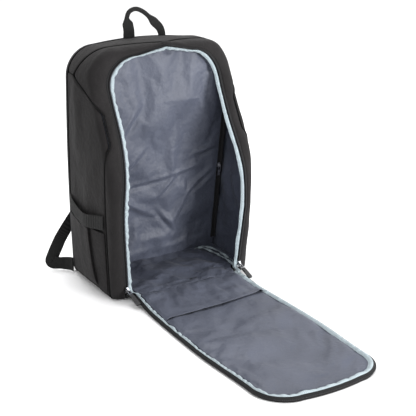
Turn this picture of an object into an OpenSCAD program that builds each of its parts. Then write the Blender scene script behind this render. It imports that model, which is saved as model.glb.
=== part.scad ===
// Travel backpack standing on its base, front flap laid open on the floor.
// X across the bag, -Y towards the opening, Z up, millimetres.

/* [Body] */
// height of the body without its crown
body_height = 455; // [400:1:546]
// width across the side panels
body_width = 304; // [254:1:364]
// depth from front sill to back panel
body_depth = 188; // [158:1:225]
// radius of the two top corners seen from the front
top_corner = 58; // [40:1:70]
// rise of the top from corner to centre
top_crown = 6; // [0:0.5:12]
// rise of the top between front roll and back edge
top_rise = 7; // [4:0.5:12]
// rounding of the back panel rim
back_rim = 8; // [6:0.5:11]
// distance from the back seam to the back plane
back_strip = 14; // [12:0.5:18]
// how far the sides bow out half way up
side_bow = 3.5; // [0:0.5:6]
// rounding where the sides meet the base
base_rim = 12; // [8:0.5:16]
// how far the filled side panels stand out
side_swell = 5; // [0:0.5:8]
// height of the stiff front sill
sill_height = 14; // [10:0.5:18]

/* [Opening] */
// clear half width of the opening at the sill
open_base = 121.5; // [101:0.5:126]
// clear half width at the belly
open_belly = 131; // [109:0.5:136]
// clear half width under the top corners
open_top = 116; // [97:0.5:122]
// radius of the opening's top corners
open_corner = 60; // [50:1:72]
// extra height of the opening at its centre
open_peak = 13; // [4:0.5:16]
// forward swell of the front edge at the belly
belly = 10.5; // [4:0.5:14]
// height of the belly
belly_height = 145; // [120:1:174]
// how far the front edge falls back at the top
top_setback = 87; // [72:1:100]
// radius-like depth of the roll between side and front
front_roll = 20; // [16:0.5:24]

/* [Cloth] */
// padded outer cloth
shell_thick = 2.4; // [1.6:0.1:3]
// lining cloth
lining_thick = 1.2; // [0.8:0.1:1.6]
// radius of the piping cord
piping_radius = 1.3; // [1:0.05:1.6]
// gap between neighbouring cloth pieces
cloth_gap = 0.4; // [0.3:0.05:0.6]

/* [Divider] */
// padding inside the rear wall
divider_pad = 5; // [3:0.5:7]
// distance of its foot behind the centre
divider_foot = 37; // [30:1:42]
// how far it leans forward per unit of height
divider_lean = 0.14; // [0.08:0.01:0.16]
// padding of the back panel
back_pad = 6; // [4:0.5:8]

/* [Flap] */
// length from hinge line to far edge
flap_length = 463; // [400:1:480]
// where the flap bends when it is lifted
flap_bend = 225; // [190:1:240]
// half width at the hinge
flap_base = 116.5; // [97:0.5:117]
// how far the flap stands off the floor at the hinge
flap_raise = 8; // [4:0.5:8]
// length over which it sinks to the floor
flap_sink = 90; // [75:1:108]
// half width at its widest
flap_wide = 125; // [104:0.5:130]
// half width before the far corners
flap_end = 118; // [98:0.5:124]
// radius of the far corners
flap_corner = 60; // [50:1:72]
// length of the slip pocket sewn on the lining
slip_length = 103; // [80:1:124]
// width of the pale binding tape
binding_width = 9; // [7:0.5:10]
// width of one half of the zip
zip_width = 5.6; // [4.5:0.1:6]

/* [Zip sliders] */
// length of a slider body
slider_length = 12; // [9:0.5:14]
// width of a slider body
slider_width = 8; // [7:0.5:9.6]
// length of the large zip pulls
pull_length = 44; // [36:1:52]
// width of the large zip pulls
pull_width = 9; // [7.5:0.5:10]
// angle at which the large pulls droop
pull_droop = 18; // [10:1:20]
// length of the small metal pull inside
inner_pull = 22; // [18:1:26]

/* [Side pockets] */
// height of the pocket cloth
pocket_height = 134; // [110:1:150]
// height of the elastic top band
band_height = 25; // [20:1:30]
// how far the pocket stands off the side
pocket_swell = 7; // [5:0.5:9]

/* [Handle] */
// webbing width at the sewn ends
handle_width = 25; // [20:0.5:30]
// folded width in the grip
grip_width = 12; // [10:0.5:14.5]
// distance between the two legs
handle_span = 71; // [60:1:85]
// height of the loop above its hinge
handle_rise = 53; // [44:1:63]
// thickness of the doubled webbing
handle_thick = 3; // [2.5:0.1:3.6]

/* [Shoulder straps] */
// width of the padded strap
strap_width = 62; // [52:1:74]
// thickness of the padded strap
strap_thick = 11; // [9:0.5:13]
// width of the webbing
web_width = 25; // [20:0.5:30]
// thickness of the webbing
web_thick = 1.6; // [1.3:0.1:1.9]

/* [Hidden] */
half_w = body_width / 2;
back_y = body_depth / 2;
front_y = -body_depth / 2;
open_centre_z = body_height - 67;
seam_y = front_y + 18;
back_seam_y = back_y - back_strip;
seam_knee = 0.66 * body_height;
seam_corner_z = 0.895 * body_height;
seam_corner_y = 0.53 * back_y;
seam_corner_u = 2 + asin(min(1, (seam_corner_z - body_height + top_corner) / top_corner)) / 90;
half_seam = piping_radius + cloth_gap;
hinge_y = front_y - 3;
hinge_z = sill_height + 4;
zip_dx = (open_base - open_belly) / (belly_height - sill_height);
zip_dy = -belly / (belly_height - sill_height);
zip_seat_z = sill_height + 9;
handle_y = back_y - 19;
handle_z = body_height + top_crown + top_rise * 0.45 + 3;
$fn = 32;

// ---------- small helpers ----------
function smooth(t) = let (c = min(1, max(0, t))) c * c * (3 - 2 * c);
function mix(a, b, t) = a + (b - a) * t;
function unit(v) = v / norm(v);
function steps(a, b, n) = [for (i = [0:n]) a + (b - a) * i / n];
function mirrored(g) = [for (r = g) [for (p = r) [-p.x, p.y, p.z]]];

// ---------- body outline: u 0..1 base corner, 1..2 side, 2..3 top corner, 3..4 top ----------
function rim(u) =
    u > 4 ? let (r = rim(8 - u)) [-r[0], r[1], -r[2], r[3]] :
    u <= 1 ? let (a = 90 * u)
        [-half_w + base_rim - base_rim * sin(a), base_rim - base_rim * cos(a), -sin(a), -cos(a)] :
    u <= 2 ? [-half_w - side_bow * sin(180 * (u - 1)), mix(base_rim, body_height - top_corner, u - 1), -1, 0] :
    u <= 3 ? let (a = 90 * (u - 2))
        [-half_w + top_corner * (1 - cos(a)), body_height - top_corner * (1 - sin(a)), -cos(a), sin(a)] :
    let (x = (-half_w + top_corner) * (4 - u))
        [x, body_height + top_crown * (1 - pow(x / (half_w - top_corner), 2)), 0, 1];

// half width of the opening and front edge position by height
function open_w(z) = z < belly_height
    ? mix(open_base, open_belly, (z - sill_height) / (belly_height - sill_height))
    : mix(open_belly, open_top, smooth((z - belly_height - 20) / 165));
function edge_at(z) = (z < belly_height
    ? front_y - belly * (z - sill_height) / (belly_height - sill_height)
    : front_y - belly) + top_setback * smooth((z - 0.46 * body_height) / (0.52 * body_height));

// opening outline matched to rim(u), [x, z]
function mouth(u) =
    u > 4 ? let (m = mouth(8 - u)) [-m[0], m[1]] :
    u <= 1 ? [-open_base, sill_height] :
    u <= 2 ? let (z = mix(sill_height, open_centre_z, u - 1)) [-open_w(z), z] :
    u <= 3 ? let (a = 90 * (u - 2))
        [-open_top + open_corner * (1 - cos(a)), open_centre_z + open_corner * sin(a)] :
    let (x = (-open_top + open_corner) * (4 - u))
        [x, open_centre_z + open_corner + open_peak * (1 - abs(x) / (open_top - open_corner))];
function mouth_y(u) = let (m = mouth(u))
    edge_at(m[1]) - (u > 2 && u < 6 ? 14 * (1 - pow(m[0] / open_top, 2)) : 0);

// height of the top between front and back
function lift(y) = top_rise * (1 - pow(min(1, max(0, (y + 10) / (back_seam_y + 10))), 2));

// point on the outer cloth at rim parameter u and depth y, behind the roll
function skin(u, y) =
    let (r = rim(u), y0 = mouth_y(u) + front_roll,
        t = min(1, max(0, (y - y0) / (back_seam_y - y0))),
        h = min(1, max(0, r[1] / body_height)),
        out = side_swell * sin(180 * t) * sqrt(abs(sin(180 * h))) * abs(r[2]) + lift(y) * r[3] * abs(r[3]) * (r[3] > 0 ? 1 : 0))
    [r[0] + r[2] * out, y, r[1] + r[3] * out];

// point on the roll, a 0 at the side and 90 at the zip
function zip_out(u) = let (m = mouth(u), y0 = mouth_y(u), s = skin(u, y0 + front_roll))
    unit([s.x - m[0], s.z - m[1]]);
function mouth_off(u, d, dy) = let (m = mouth(u), o = zip_out(u))
    [m[0] + o[0] * d, mouth_y(u) + dy, m[1] + o[1] * d];
function roll(u, a) =
    let (y0 = mouth_y(u), s = skin(u, y0 + front_roll), e = mouth_off(u, zip_width + 1, 0))
    [mix(s.x, e.x, 1 - cos(a)), y0 + front_roll * (1 - sin(a)), mix(s.z, e.z, 1 - cos(a))];

// the seam between front yoke and side or top panels
function seam_side(z) = z <= seam_knee ? seam_y
    : mix(seam_y, seam_corner_y, pow(min(1, (z - seam_knee) / (seam_corner_z - seam_knee)), 2.2));
function seam(u) = u > 4 ? seam(8 - u) : max(mouth_y(u) + 0.2 * front_roll,
    u <= seam_corner_u ? seam_side(rim(u)[1])
    : mix(seam_corner_y, -24, pow((u - seam_corner_u) / (4 - seam_corner_u), 0.8)));

// clearance to the seam along y, wider where the seam slants
function seam_gap(u) = let (p = rim(u + 0.01), q = rim(u - 0.01), dy = seam(u + 0.01) - seam(u - 0.01),
        ds = norm([p[0] - q[0], p[1] - q[1]]))
    half_seam * min(3, norm([dy, ds]) / ds);

// depth y on the body wherever it lies, roll included
function cloth(u, y) = let (y0 = mouth_y(u) + front_roll)
    y >= y0 ? skin(u, y) : roll(u, asin(min(1, (y0 - y) / front_roll)));
function yoke_pt(u, v) =
    let (y1 = seam(u) - seam_gap(u), y0 = mouth_y(u) + front_roll,
        flat = max(0, y1 - y0), a0 = y1 < y0 ? asin(min(1, (y0 - y1) / front_roll)) : 0,
        curved = 34 * (90 - a0) / 90, s = v * (flat + curved))
    s < flat ? skin(u, y1 - s) : roll(u, a0 + (90 - a0) * (s - flat) / curved);

// ---------- solids from grids ----------
function grid_normal(g, i, j) =
    let (a = g[min(len(g) - 1, i + 1)][j] - g[max(0, i - 1)][j],
        b = g[i][min(len(g[0]) - 1, j + 1)] - g[i][max(0, j - 1)])
    unit(cross(a, b));
function offset_grid(g, d) =
    [for (i = [0:len(g) - 1]) [for (j = [0:len(g[0]) - 1]) g[i][j] + d * grid_normal(g, i, j)]];
function flip(g) = [for (i = [len(g) - 1:-1:0]) g[i]];

// closed triangle mesh with its faces turned outward
module closed_mesh(points, faces) {
    flux = [for (f = faces) points[f[0]] * cross(points[f[1]], points[f[2]])];
    inward = flux * [for (f = flux) 1] > 0;
    polyhedron(points = points, faces = inward ? [for (f = faces) [f[2], f[1], f[0]]] : faces);
}

// closed solid between two matching grids, a on its outer side
module between(a, b) {
    m = len(a) - 1;
    n = len(a[0]) - 1;
    w = n + 1;
    k = (m + 1) * w;
    closed_mesh(
        points = concat([for (r = a) each r], [for (r = b) each r]),
        faces = concat(
            [for (i = [0:m - 1], j = [0:n - 1]) each let (q = i * w + j)
                [[q, q + 1, q + w + 1], [q, q + w + 1, q + w],
                [k + q, k + q + w + 1, k + q + 1], [k + q, k + q + w, k + q + w + 1]]],
            [for (j = [0:n - 1]) each let (q = m * w + j)
                [[j + 1, j, k + j], [j + 1, k + j, k + j + 1],
                [q, q + 1, k + q + 1], [q, k + q + 1, k + q]]],
            [for (i = [0:m - 1]) each let (p = i * w, q = i * w + n)
                [[q + w, q, k + q], [q + w, k + q, k + q + w],
                [p, p + w, k + p + w], [p, k + p + w, k + p]]]));
}

// cloth of thickness t laid behind grid g, in front of it when t is negative
module sheet(g, t) {
    if (t > 0) between(g, offset_grid(g, -t));
    else between(flip(g), offset_grid(flip(g), t));
}

// closed solid through a row of matching rings
module skinned(rings) {
    m = len(rings) - 1;
    n = len(rings[0]);
    closed_mesh(
        points = [for (r = rings) each r],
        faces = concat(
            [for (i = [0:m - 1], j = [0:n - 1]) each let (a = i * n + j, b = i * n + (j + 1) % n)
                [[a, b, b + n], [a, b + n, a + n]]],
            [for (j = [1:n - 2]) [0, j + 1, j]],
            [for (j = [1:n - 2]) [m * n, m * n + j, m * n + j + 1]]));
}

// cord of radius r along points
function tangent(p, i) = unit(p[min(len(p) - 1, i + 1)] - p[max(0, i - 1)]);
function cord_rings(p, r, n, up) = [for (i = [0:len(p) - 1])
    let (t = tangent(p, i), a = unit(cross(t, up[i])), b = cross(t, a))
    [for (k = [0:n - 1]) p[i] - r * (a * cos(360 * k / n) + b * sin(360 * k / n))]];

// strip with centre line p, width direction w, half width and half thickness per point
function strip_rings(p, w, hw, ht, n) = [for (i = [0:len(p) - 1])
    let (t = tangent(p, i), b = unit(cross(t, w[i])), a = cross(b, t))
    [for (k = [0:n - 1]) let (c = 360 * (k + 0.5) / n)
        p[i] - a * hw[i] * sign(cos(c)) * pow(abs(cos(c)), n > 4 ? 0.45 : 0)
        - b * ht[i] * sign(sin(c)) * pow(abs(sin(c)), n > 4 ? 0.6 : 0)]];

// smooth curve through control points (Catmull-Rom)
function spline_pt(p, s) = let (n = len(p) - 1, i = min(n - 1, floor(s)), t = s - i,
        a = p[max(0, i - 1)], b = p[i], c = p[i + 1], d = p[min(n, i + 2)])
    0.5 * (2 * b + (c - a) * t + (2 * a - 5 * b + 4 * c - d) * t * t + (3 * b - a - 3 * c + d) * t * t * t);
function spline(p, n) = [for (i = [0:n]) spline_pt(p, (len(p) - 1) * i / n)];

// stations shared by everything that meets at a seam
side_us = concat([0, 0.5, 1], steps(1.125, 1.75, 5), [1.85, 1.925, 2, 2.06]);
top_us = [2.25, 2.45, 2.65, 2.85, 3, 3.33, 3.67];
function both_sides(half) = concat(half, [4], [for (i = [len(half) - 1:-1:0]) 8 - half[i]]);

// ---------- panels across the bag ----------
function inset_rim(u, d) = let (r = rim(u)) [r[0] - r[2] * d, r[1] - r[3] * d];
across = [-1, -0.999, -0.992, -0.973, -0.945, -0.85, -0.55, -0.25, 0.25, 0.55, 0.85, 0.945, 0.973, 0.992, 0.999, 1];
across_plain = [-1, -0.8, -0.5, -0.2, 0.2, 0.5, 0.8, 1];
function crown_part(x, z) = let (k = max(0, min(1, (z - body_height + top_corner) / top_corner)))
    top_crown * k * k * max(0, 1 - pow(x / (half_w - top_corner), 2));
function rim_gap(x, z, w) =
    let (ax = abs(x), cx = half_w - top_corner, cz = body_height - top_corner, bx = half_w - base_rim)
    z > cz && ax > cx ? top_corner - norm([ax - cx, z - cz]) :
    z < base_rim && ax > bx ? base_rim - norm([ax - bx, z - base_rim]) :
    min(w - ax, body_height - z, z);
function rim_depth(x, z, w) = let (d = min(back_rim, max(0, rim_gap(x, z, w))))
    back_y - back_rim + sqrt(back_rim * back_rim - pow(back_rim - d, 2));
back_rows = [0, 0.15, 0.45, 0.8, 1.03, 1.2, 1.4, 1.6, 1.8, 2, 2.2, 2.45, 2.65, 2.8, 2.92, 2.97, 3];
function back_grid() = let (m = len(back_rows) - 1, n = len(across) - 1)
    [for (i = [0:m]) let (r = rim(back_rows[i]))
        [for (j = [0:n]) let (x = -r[0] * across[j])
            [x, i == 0 || i == m || j == 0 || j == n ? back_seam_y + half_seam : rim_depth(x, r[1], -r[0]),
            r[1] + crown_part(x, r[1])]]];
function wall_grid(d, z0, n, cols) = [for (u = concat(steps(1, 2, n), [2.25, 2.5, 2.75, 3]))
    let (q = inset_rim(u, d), z = max(z0, mix(z0, q[1], min(1, u - 1))))
    [for (t = cols) [-q[0] * t, 0, u <= 2 ? mix(z0, inset_rim(2, d)[1], u - 1) : q[1]]]];
function divider_y(z) = divider_foot - divider_lean * (min(z, 0.77 * body_height) - sill_height)
    + 14 * smooth((z / body_height - 0.77) / 0.13);
function placed(g, f, dy) = [for (r = g) [for (p = r) [p.x, f(p.z) + dy, p.z]]];

// ---------- cloth of the body ----------
module back_panel() {
    color([0.09, 0.09, 0.1]) sheet(back_grid(), shell_thick);
}
module back_padding() {
    flat = function (z) back_y - shell_thick - 1;
    color([0.2, 0.2, 0.22]) sheet(placed(wall_grid(18, 18, 3, across_plain), flat, 0), back_pad);
}
side_vs = [0, 0.04, 0.09, 0.15, 0.22, 0.4, 0.6, 0.8, 1];
module side_panel(s) {
    g = [for (u = concat(side_us, [seam_corner_u - 0.015])) let (f = seam(u) + seam_gap(u))
        [for (v = side_vs) cloth(u, mix(f, back_seam_y - half_seam, v))]];
    color([0.1, 0.1, 0.11]) if (s < 0) sheet(g, shell_thick); else sheet(mirrored(g), -shell_thick);
}
module side_panel_left() {
    side_panel(-1);
}
module side_panel_right() {
    side_panel(1);
}
module top_panel() {
    us = both_sides(concat([seam_corner_u + 0.015], top_us));
    g = [for (u = us) let (f = seam(u) + seam_gap(u))
        [for (v = steps(0, 1, 4)) cloth(u, mix(f, back_seam_y - half_seam, v))]];
    color([0.1, 0.1, 0.11]) sheet(g, shell_thick);
}
module base_panel() {
    r = sill_height - 2.5;
    y1 = back_seam_y - half_seam;
    path = concat([for (a = steps(0, 90, 3)) [front_y + 1 + r * (1 - cos(a)), r * (1 - sin(a)) + 0.01]],
        [[y1, 0.01]]);
    g = [for (p = path) [for (t = [-1, -0.5, 0.1, 0.6, 1]) [t * (p.x < front_y + r ? open_base + 2 : half_w - base_rim - 1.6), p.x, p.y]]];
    color([0.07, 0.07, 0.08]) sheet(g, shell_thick);
}
module front_yoke() {
    us = both_sides(concat(side_us, [seam_corner_u], top_us));
    g = [for (u = us) [for (v = steps(0, 1, 8)) yoke_pt(u, v)]];
    color([0.11, 0.11, 0.12]) sheet(g, -shell_thick);
}
function seam_pt(u) = cloth(u, seam(u));
function seam_up(u) = unit(cross(cloth(u + 0.02, seam(u + 0.02)) - cloth(u - 0.02, seam(u - 0.02)),
    cloth(u, seam(u) + 1) - cloth(u, seam(u) - 1)));
module front_piping() {
    us = both_sides(concat([for (u = side_us) max(0.35, u)], [seam_corner_u], top_us));
    p = [for (u = us) seam_pt(u) - 0.4 * seam_up(u)];
    color([0.03, 0.03, 0.03]) skinned(cord_rings(p, piping_radius, 6, [for (u = us) seam_up(u)]));
}
function back_seam_pt(u) = skin(u, back_seam_y);
module back_piping() {
    us = both_sides(concat([for (u = side_us) max(0.35, u)], top_us));
    up = [for (u = us) let (r = rim(u)) [r[2], 0, r[3]]];
    p = [for (i = [0:len(us) - 1]) back_seam_pt(us[i]) - 0.2 * up[i]];
    color([0.03, 0.03, 0.03]) skinned(cord_rings(p, piping_radius, 6, up));
}

// ---------- opening edge ----------
edge_all = both_sides(concat([for (u = side_us) if (u >= 1) u], top_us));
module opening_zip() {
    g = [for (u = edge_all) [mouth_off(u, zip_width, 0.6), mouth_off(u, cloth_gap, 0.6)]];
    color([0.02, 0.02, 0.02]) sheet(g, -1.8);
}
module opening_binding() {
    g = [for (u = edge_all) [mouth_off(u, 0, 0.9), mouth_off(u, -binding_width / 2, 0.7), mouth_off(u, -binding_width, 1.4)]];
    color([0.68, 0.74, 0.77]) sheet(g, -1.5);
}

// ---------- lining ----------
lining_inset = shell_thick + 2.2;
lining_gap = shell_thick + 4;
function lining_pt(u, v) = let (y0 = mouth_y(u) + front_roll, y1 = max(y0 + 3, divider_y(rim(u)[1]) - 1))
    v <= 1 ? roll(u, 90 * (1 - v) * 0.97) + [0, 3.5 * (1 - v), 0] : skin(u, mix(y0, y1, v - 1));
module lining_shell() {
    g = [for (u = [for (e = edge_all) min(6.96, max(1.04, e))]) [for (v = [0, 0.3, 0.65, 1, 1.5, 2]) lining_pt(u, v)]];
    color([0.44, 0.47, 0.53]) between(flip(offset_grid(g, -lining_gap)), flip(offset_grid(g, -lining_gap - lining_thick)));
}
module lining_floor() {
    y0 = front_y + 1;
    y1 = divider_y(sill_height) - 2.5;
    g = [for (v = [0, 0.12, 0.25, 0.5, 0.75, 1])
        let (w = mix(open_base - binding_width - 1.5, half_w - lining_inset - 2.5, smooth(v * 2.4 - 0.1)))
        [for (t = [-1, -0.5, 0, 0.5, 1]) [t * w, mix(y0, y1, v), sill_height]]];
    color([0.4, 0.43, 0.49]) sheet(g, lining_thick);
}
divider_inset = lining_inset + lining_thick + 0.6;
module divider_face() {
    g = placed(wall_grid(divider_inset, sill_height + 1.8, 6, across_plain), function (z) divider_y(z), 0);
    color([0.45, 0.48, 0.54]) sheet(g, lining_thick);
}
module divider_padding() {
    g = placed(wall_grid(divider_inset + 2, sill_height + 3, 3, [-1, -0.5, 0, 0.5, 1]), function (z) divider_y(z), lining_thick + 1);
    color([0.3, 0.3, 0.33]) sheet(g, -divider_pad);
}

// ---------- inner zip ----------
inner_x = half_w - divider_inset - 5;
inner_z0 = 40;
inner_z1 = 0.74 * body_height;
lean_dir = unit([0, -divider_lean, 1]);
lean_angle = atan(divider_lean);
inner_seat_z = 0.44 * body_height;
module inner_at(z) {
    translate([inner_x, divider_y(z) - lining_thick - 0.5, z]) rotate([lean_angle, 0, 0]) children();
}
module inner_zip() {
    color([0.03, 0.03, 0.03]) inner_at(inner_z0)
        translate([-4, -1.2, 0]) cube([8, 1.2, (inner_z1 - inner_z0) / cos(lean_angle)]);
}
module inner_zip_slider() {
    color([0.62, 0.63, 0.65]) inner_at(inner_seat_z) translate([0, -1.6, 0]) {
        hull() {
            translate([-3, -2.2, -4]) cube([6, 2.2, 5]);
            translate([-2, -2.2, 3]) cube([4, 2.2, 2]);
        }
        difference() {
            translate([-1, -6.4, -3]) cube([2, 4.4, 6]);
            translate([-2, -4.4, 0]) rotate([0, 90, 0]) cylinder(h = 4, r = 1.3);
        }
    }
}
module inner_zip_pull() {
    color([0.62, 0.63, 0.65]) inner_at(inner_seat_z) translate([0, -6, 0]) {
        rotate([0, 90, 0]) cylinder(h = 5, r = 0.9, center = true);
        for (s = [-1, 1]) translate([s * 2.2 - 0.6, -0.8, -inner_pull * 0.45]) cube([1.2, 1.6, inner_pull * 0.45]);
        translate([-2.8, -0.8, -inner_pull]) cube([5.6, 1.6, inner_pull * 0.56]);
    }
}

// ---------- opening zip sliders ----------
module slider_at(s) {
    x = s * (open_base + zip_width / 2 + 0.2 - zip_dx * (zip_seat_z - sill_height));
    y = edge_at(zip_seat_z) - 0.3;
    translate([x, y, zip_seat_z]) multmatrix([[1, 0, -s * zip_dx * 1, 0], [0, 1, zip_dy, 0], [0, 0, 1, 0], [0, 0, 0, 1]]) children();
}
module zip_slider(s) {
    color([0.72, 0.73, 0.75]) slider_at(s) {
        hull() {
            translate([-slider_width / 2, -2.6, -slider_length / 2]) cube([slider_width, 2.2, slider_length * 0.7]);
            translate([-slider_width / 3, -2.6, slider_length / 2 - 2]) cube([slider_width / 1.5, 2.2, 2]);
        }
        difference() {
            translate([-1.4, -8, -4]) cube([2.8, 5.6, 8]);
            translate([-3, -5.2, 0]) rotate([0, 90, 0]) cylinder(h = 6, r = 1.6);
        }
    }
}
module zip_slider_left() {
    zip_slider(-1);
}
module zip_slider_right() {
    zip_slider(1);
}
// the pull lies forward and droops to the floor
module pull_ring(s) {
    color([0.7, 0.71, 0.73]) slider_at(s) translate([0, -5, 0]) rotate([pull_droop, 0, 0]) {
        rotate([0, 90, 0]) cylinder(h = 7, r = 1.05, center = true);
        for (k = [-1, 1]) translate([k * 2.9 - 0.8, -11, -1]) cube([1.6, 11, 2]);
        translate([-3.7, -12.5, -1]) cube([7.4, 2, 2]);
    }
}
module pull_tab(s) {
    color([0.05, 0.05, 0.05]) slider_at(s) translate([0, -5, 0]) rotate([pull_droop, 0, 0])
        translate([0, -13, -1.5]) hull() {
            translate([-pull_width / 2 + 1, -6, 0]) cube([pull_width - 2, 5, 3]);
            for (k = [-1, 1]) translate([k * (pull_width / 2 - 2.5), -pull_length + 15, 0]) cylinder(h = 3, r = 2.5);
        }
}
module zip_ring_left() {
    pull_ring(-1);
}
module zip_ring_right() {
    pull_ring(1);
}
module zip_pull_left() {
    pull_tab(-1);
}
module zip_pull_right() {
    pull_tab(1);
}

// ---------- flap ----------
function flap_w(d) = let (peak = 0.55 * flap_length)
    d < peak ? mix(flap_base, flap_wide, sin(90 * d / peak))
    : mix(flap_wide, flap_end, smooth((d - peak) / (flap_length - flap_corner - peak)));
// outline point at d along the flap with inset, [half width, distance]
function flap_side(e, ins) = e <= 1
    ? [flap_w(e * (flap_length - flap_corner)) - ins, e * (flap_length - flap_corner)]
    : let (a = 90 * (e - 1), r = flap_corner - ins)
        [flap_end - flap_corner + r * cos(a), flap_length - flap_corner + r * sin(a)];
function flap_crown(x) = 5 * max(0, 1 - pow(x / (flap_end - flap_corner), 2));
bend_e = flap_bend / (flap_length - flap_corner);
low_es = concat([0.035, 0.09, 0.16, 0.23], steps(0.32, bend_e - 0.0015, 2));
high_es = concat(steps(bend_e + 0.0015, 1, 3), [1.25, 1.5, 1.72, 1.88, 2]);
function flap_up(d) = flap_raise * (1 - smooth(d / flap_sink));
function flap_grid(es, cols, ins, z) = [for (e = es) let (o = flap_side(e, ins))
    [for (t = cols) let (x = o[0] * t, k = smooth((e - 1)))
        [x, hinge_y - o[1] - k * flap_crown(x), z + flap_up(o[1])]]];
// slab of height t standing on grid g
module slab(g, t) {
    between([for (r = g) [for (p = r) p + [0, 0, t]]], g);
}
// strip along the outline between two insets
function flap_ring(es, a, b, za, zb) = [for (e = es) let (p = flap_side(e, a), q = flap_side(e, b))
    let (h = flap_up(p[1]), y1 = hinge_y - p[1], y2 = hinge_y - q[1])
    [[-p[0], y1, za + h], [-(p[0] + q[0]) / 2, (y1 + y2) / 2, (za + zb) / 2 + 0.2 + h], [-q[0], y2, zb + h]]];
flap_cols = [-1, -0.9, -0.6, -0.2, 0.2, 0.6, 0.9, 1];
module flap_outer_lower() {
    color([0.1, 0.1, 0.11]) slab(flap_grid(low_es, flap_cols, 2, 0.2), shell_thick);
}
module flap_outer_upper() {
    color([0.1, 0.1, 0.11]) slab(flap_grid(high_es, flap_cols, 2, 0.2), shell_thick);
}
flap_in = binding_width + 3.4;
module flap_lining_lower() {
    color([0.45, 0.48, 0.54]) slab(flap_grid(low_es, flap_cols, flap_in, 7.4 - lining_thick), lining_thick);
}
module flap_lining_upper() {
    color([0.45, 0.48, 0.54]) slab(flap_grid(high_es, flap_cols, flap_in, 7.4 - lining_thick), lining_thick);
}
module flap_padding_lower() {
    color([0.3, 0.3, 0.33]) slab(flap_grid(low_es, [-1, -0.3, 0.3, 1], flap_in + 4, 3.2), 2.6);
}
module flap_padding_upper() {
    color([0.3, 0.3, 0.33]) slab(flap_grid(high_es, [-1, -0.3, 0.3, 1], flap_in + 4, 3.2), 2.6);
}
function flap_band(a, b, za, zb) = let (half = flap_ring(high_es, a, b, za, zb))
    concat(half, [for (i = [len(half) - 2:-1:0]) [for (p = half[i]) [-p.x, p.y, p.z]]]);
function crowned(g) = [for (r = g) [for (p = r)
    [p.x, p.y - flap_crown(p.x) * smooth((hinge_y - p.y - flap_length + flap_corner) / (flap_corner - 14)), p.z]]];
module flap_edge_lower(a, b, za, zb, t) {
    for (s = [-1, 1]) {
        g = flap_ring(low_es, a, b, za, zb);
        if (s < 0) sheet(g, -t); else sheet(mirrored(g), t);
    }
}
module flap_zip_lower() {
    color([0.02, 0.02, 0.02]) flap_edge_lower(0, 4.4, 3.2, 3.2, 1.6);
}
module flap_zip_upper() {
    color([0.02, 0.02, 0.02]) sheet(crowned(flap_band(0, 4.4, 3.2, 3.2)), -1.6);
}
module flap_binding_lower() {
    color([0.68, 0.74, 0.77]) flap_edge_lower(4.8, 4.8 + binding_width - 2, 7, 8, 1.6);
}
module flap_binding_upper() {
    color([0.68, 0.74, 0.77]) sheet(crowned(flap_band(4.8, 4.8 + binding_width - 2, 7, 8)), -1.6);
}
module slip_pocket() {
    e1 = (14 + slip_length) / (flap_length - flap_corner);
    g = flap_grid(steps(0.045, e1, 6), [-1, -0.9, -0.5, 0, 0.5, 0.9, 1], flap_in + 4, 8);
    top = [for (i = [0:len(g) - 1]) [for (j = [0:len(g[0]) - 1])
        g[i][j] + [0, 0, 1.4 + 1.6 * sin(180 * j / (len(g[0]) - 1)) * (0.4 + 0.6 * i / (len(g) - 1))]]];
    color([0.47, 0.5, 0.56]) between(flip(top), flip(g));
}
module flap_hinge() {
    g = [for (a = [0, 12, 26, 40]) let (c = [hinge_y, hinge_z])
        [for (x = [-1, -0.5, 0, 0.5, 1]) [x * (flap_base - 4), c.x - 13.4 * smooth(a / 40) + 1.5, hinge_z - 3.6 - 3 * a / 40]]];
    color([0.3, 0.32, 0.36]) sheet(g, 1.4);
}

// ---------- side pockets ----------
function pocket_pt(y, z, out) = let (u = 1 + max(0, (z - base_rim)) / (body_height - top_corner - base_rim))
    cloth(max(1, u), y) + [-out, 0, 0];
function band_top(v) = pocket_height + band_height + 10 * pow(2 * v - 0.95, 2) + 8 * pow(max(0, v - 0.6), 2);
pocket_y0 = seam_y + 4;
pocket_y1 = back_seam_y - 4;
function pocket_out(v, h) = 2 + pocket_swell * pow(max(0, sin(180 * v)), 0.6) * (0.55 + 0.45 * h);
module pocket(s) {
    g = [for (h = steps(0, 1, 6)) [for (v = steps(0, 1, 8))
        pocket_pt(mix(pocket_y0, pocket_y1, v), mix(base_rim + 1, pocket_height - 0.4, h), pocket_out(v, h))]];
    color([0.1, 0.1, 0.11]) if (s < 0) sheet(g, 1.2); else sheet(mirrored(g), -1.2);
}
module pocket_band(s) {
    g = [for (h = [0, 0.5, 1]) [for (v = steps(0, 1, 8))
        pocket_pt(mix(pocket_y0, pocket_y1, v), mix(pocket_height + 0.3, band_top(v), h), pocket_out(v, 1) + 0.3 - 1.5 * h * (v > 0 && v < 1 ? 1 : 0))]];
    color([0.05, 0.05, 0.05]) if (s < 0) sheet(g, 1.4); else sheet(mirrored(g), -1.4);
}
module side_pocket_left() {
    pocket(-1);
}
module side_pocket_right() {
    pocket(1);
}
module pocket_elastic_left() {
    pocket_band(-1);
}
module pocket_elastic_right() {
    pocket_band(1);
}

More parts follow.
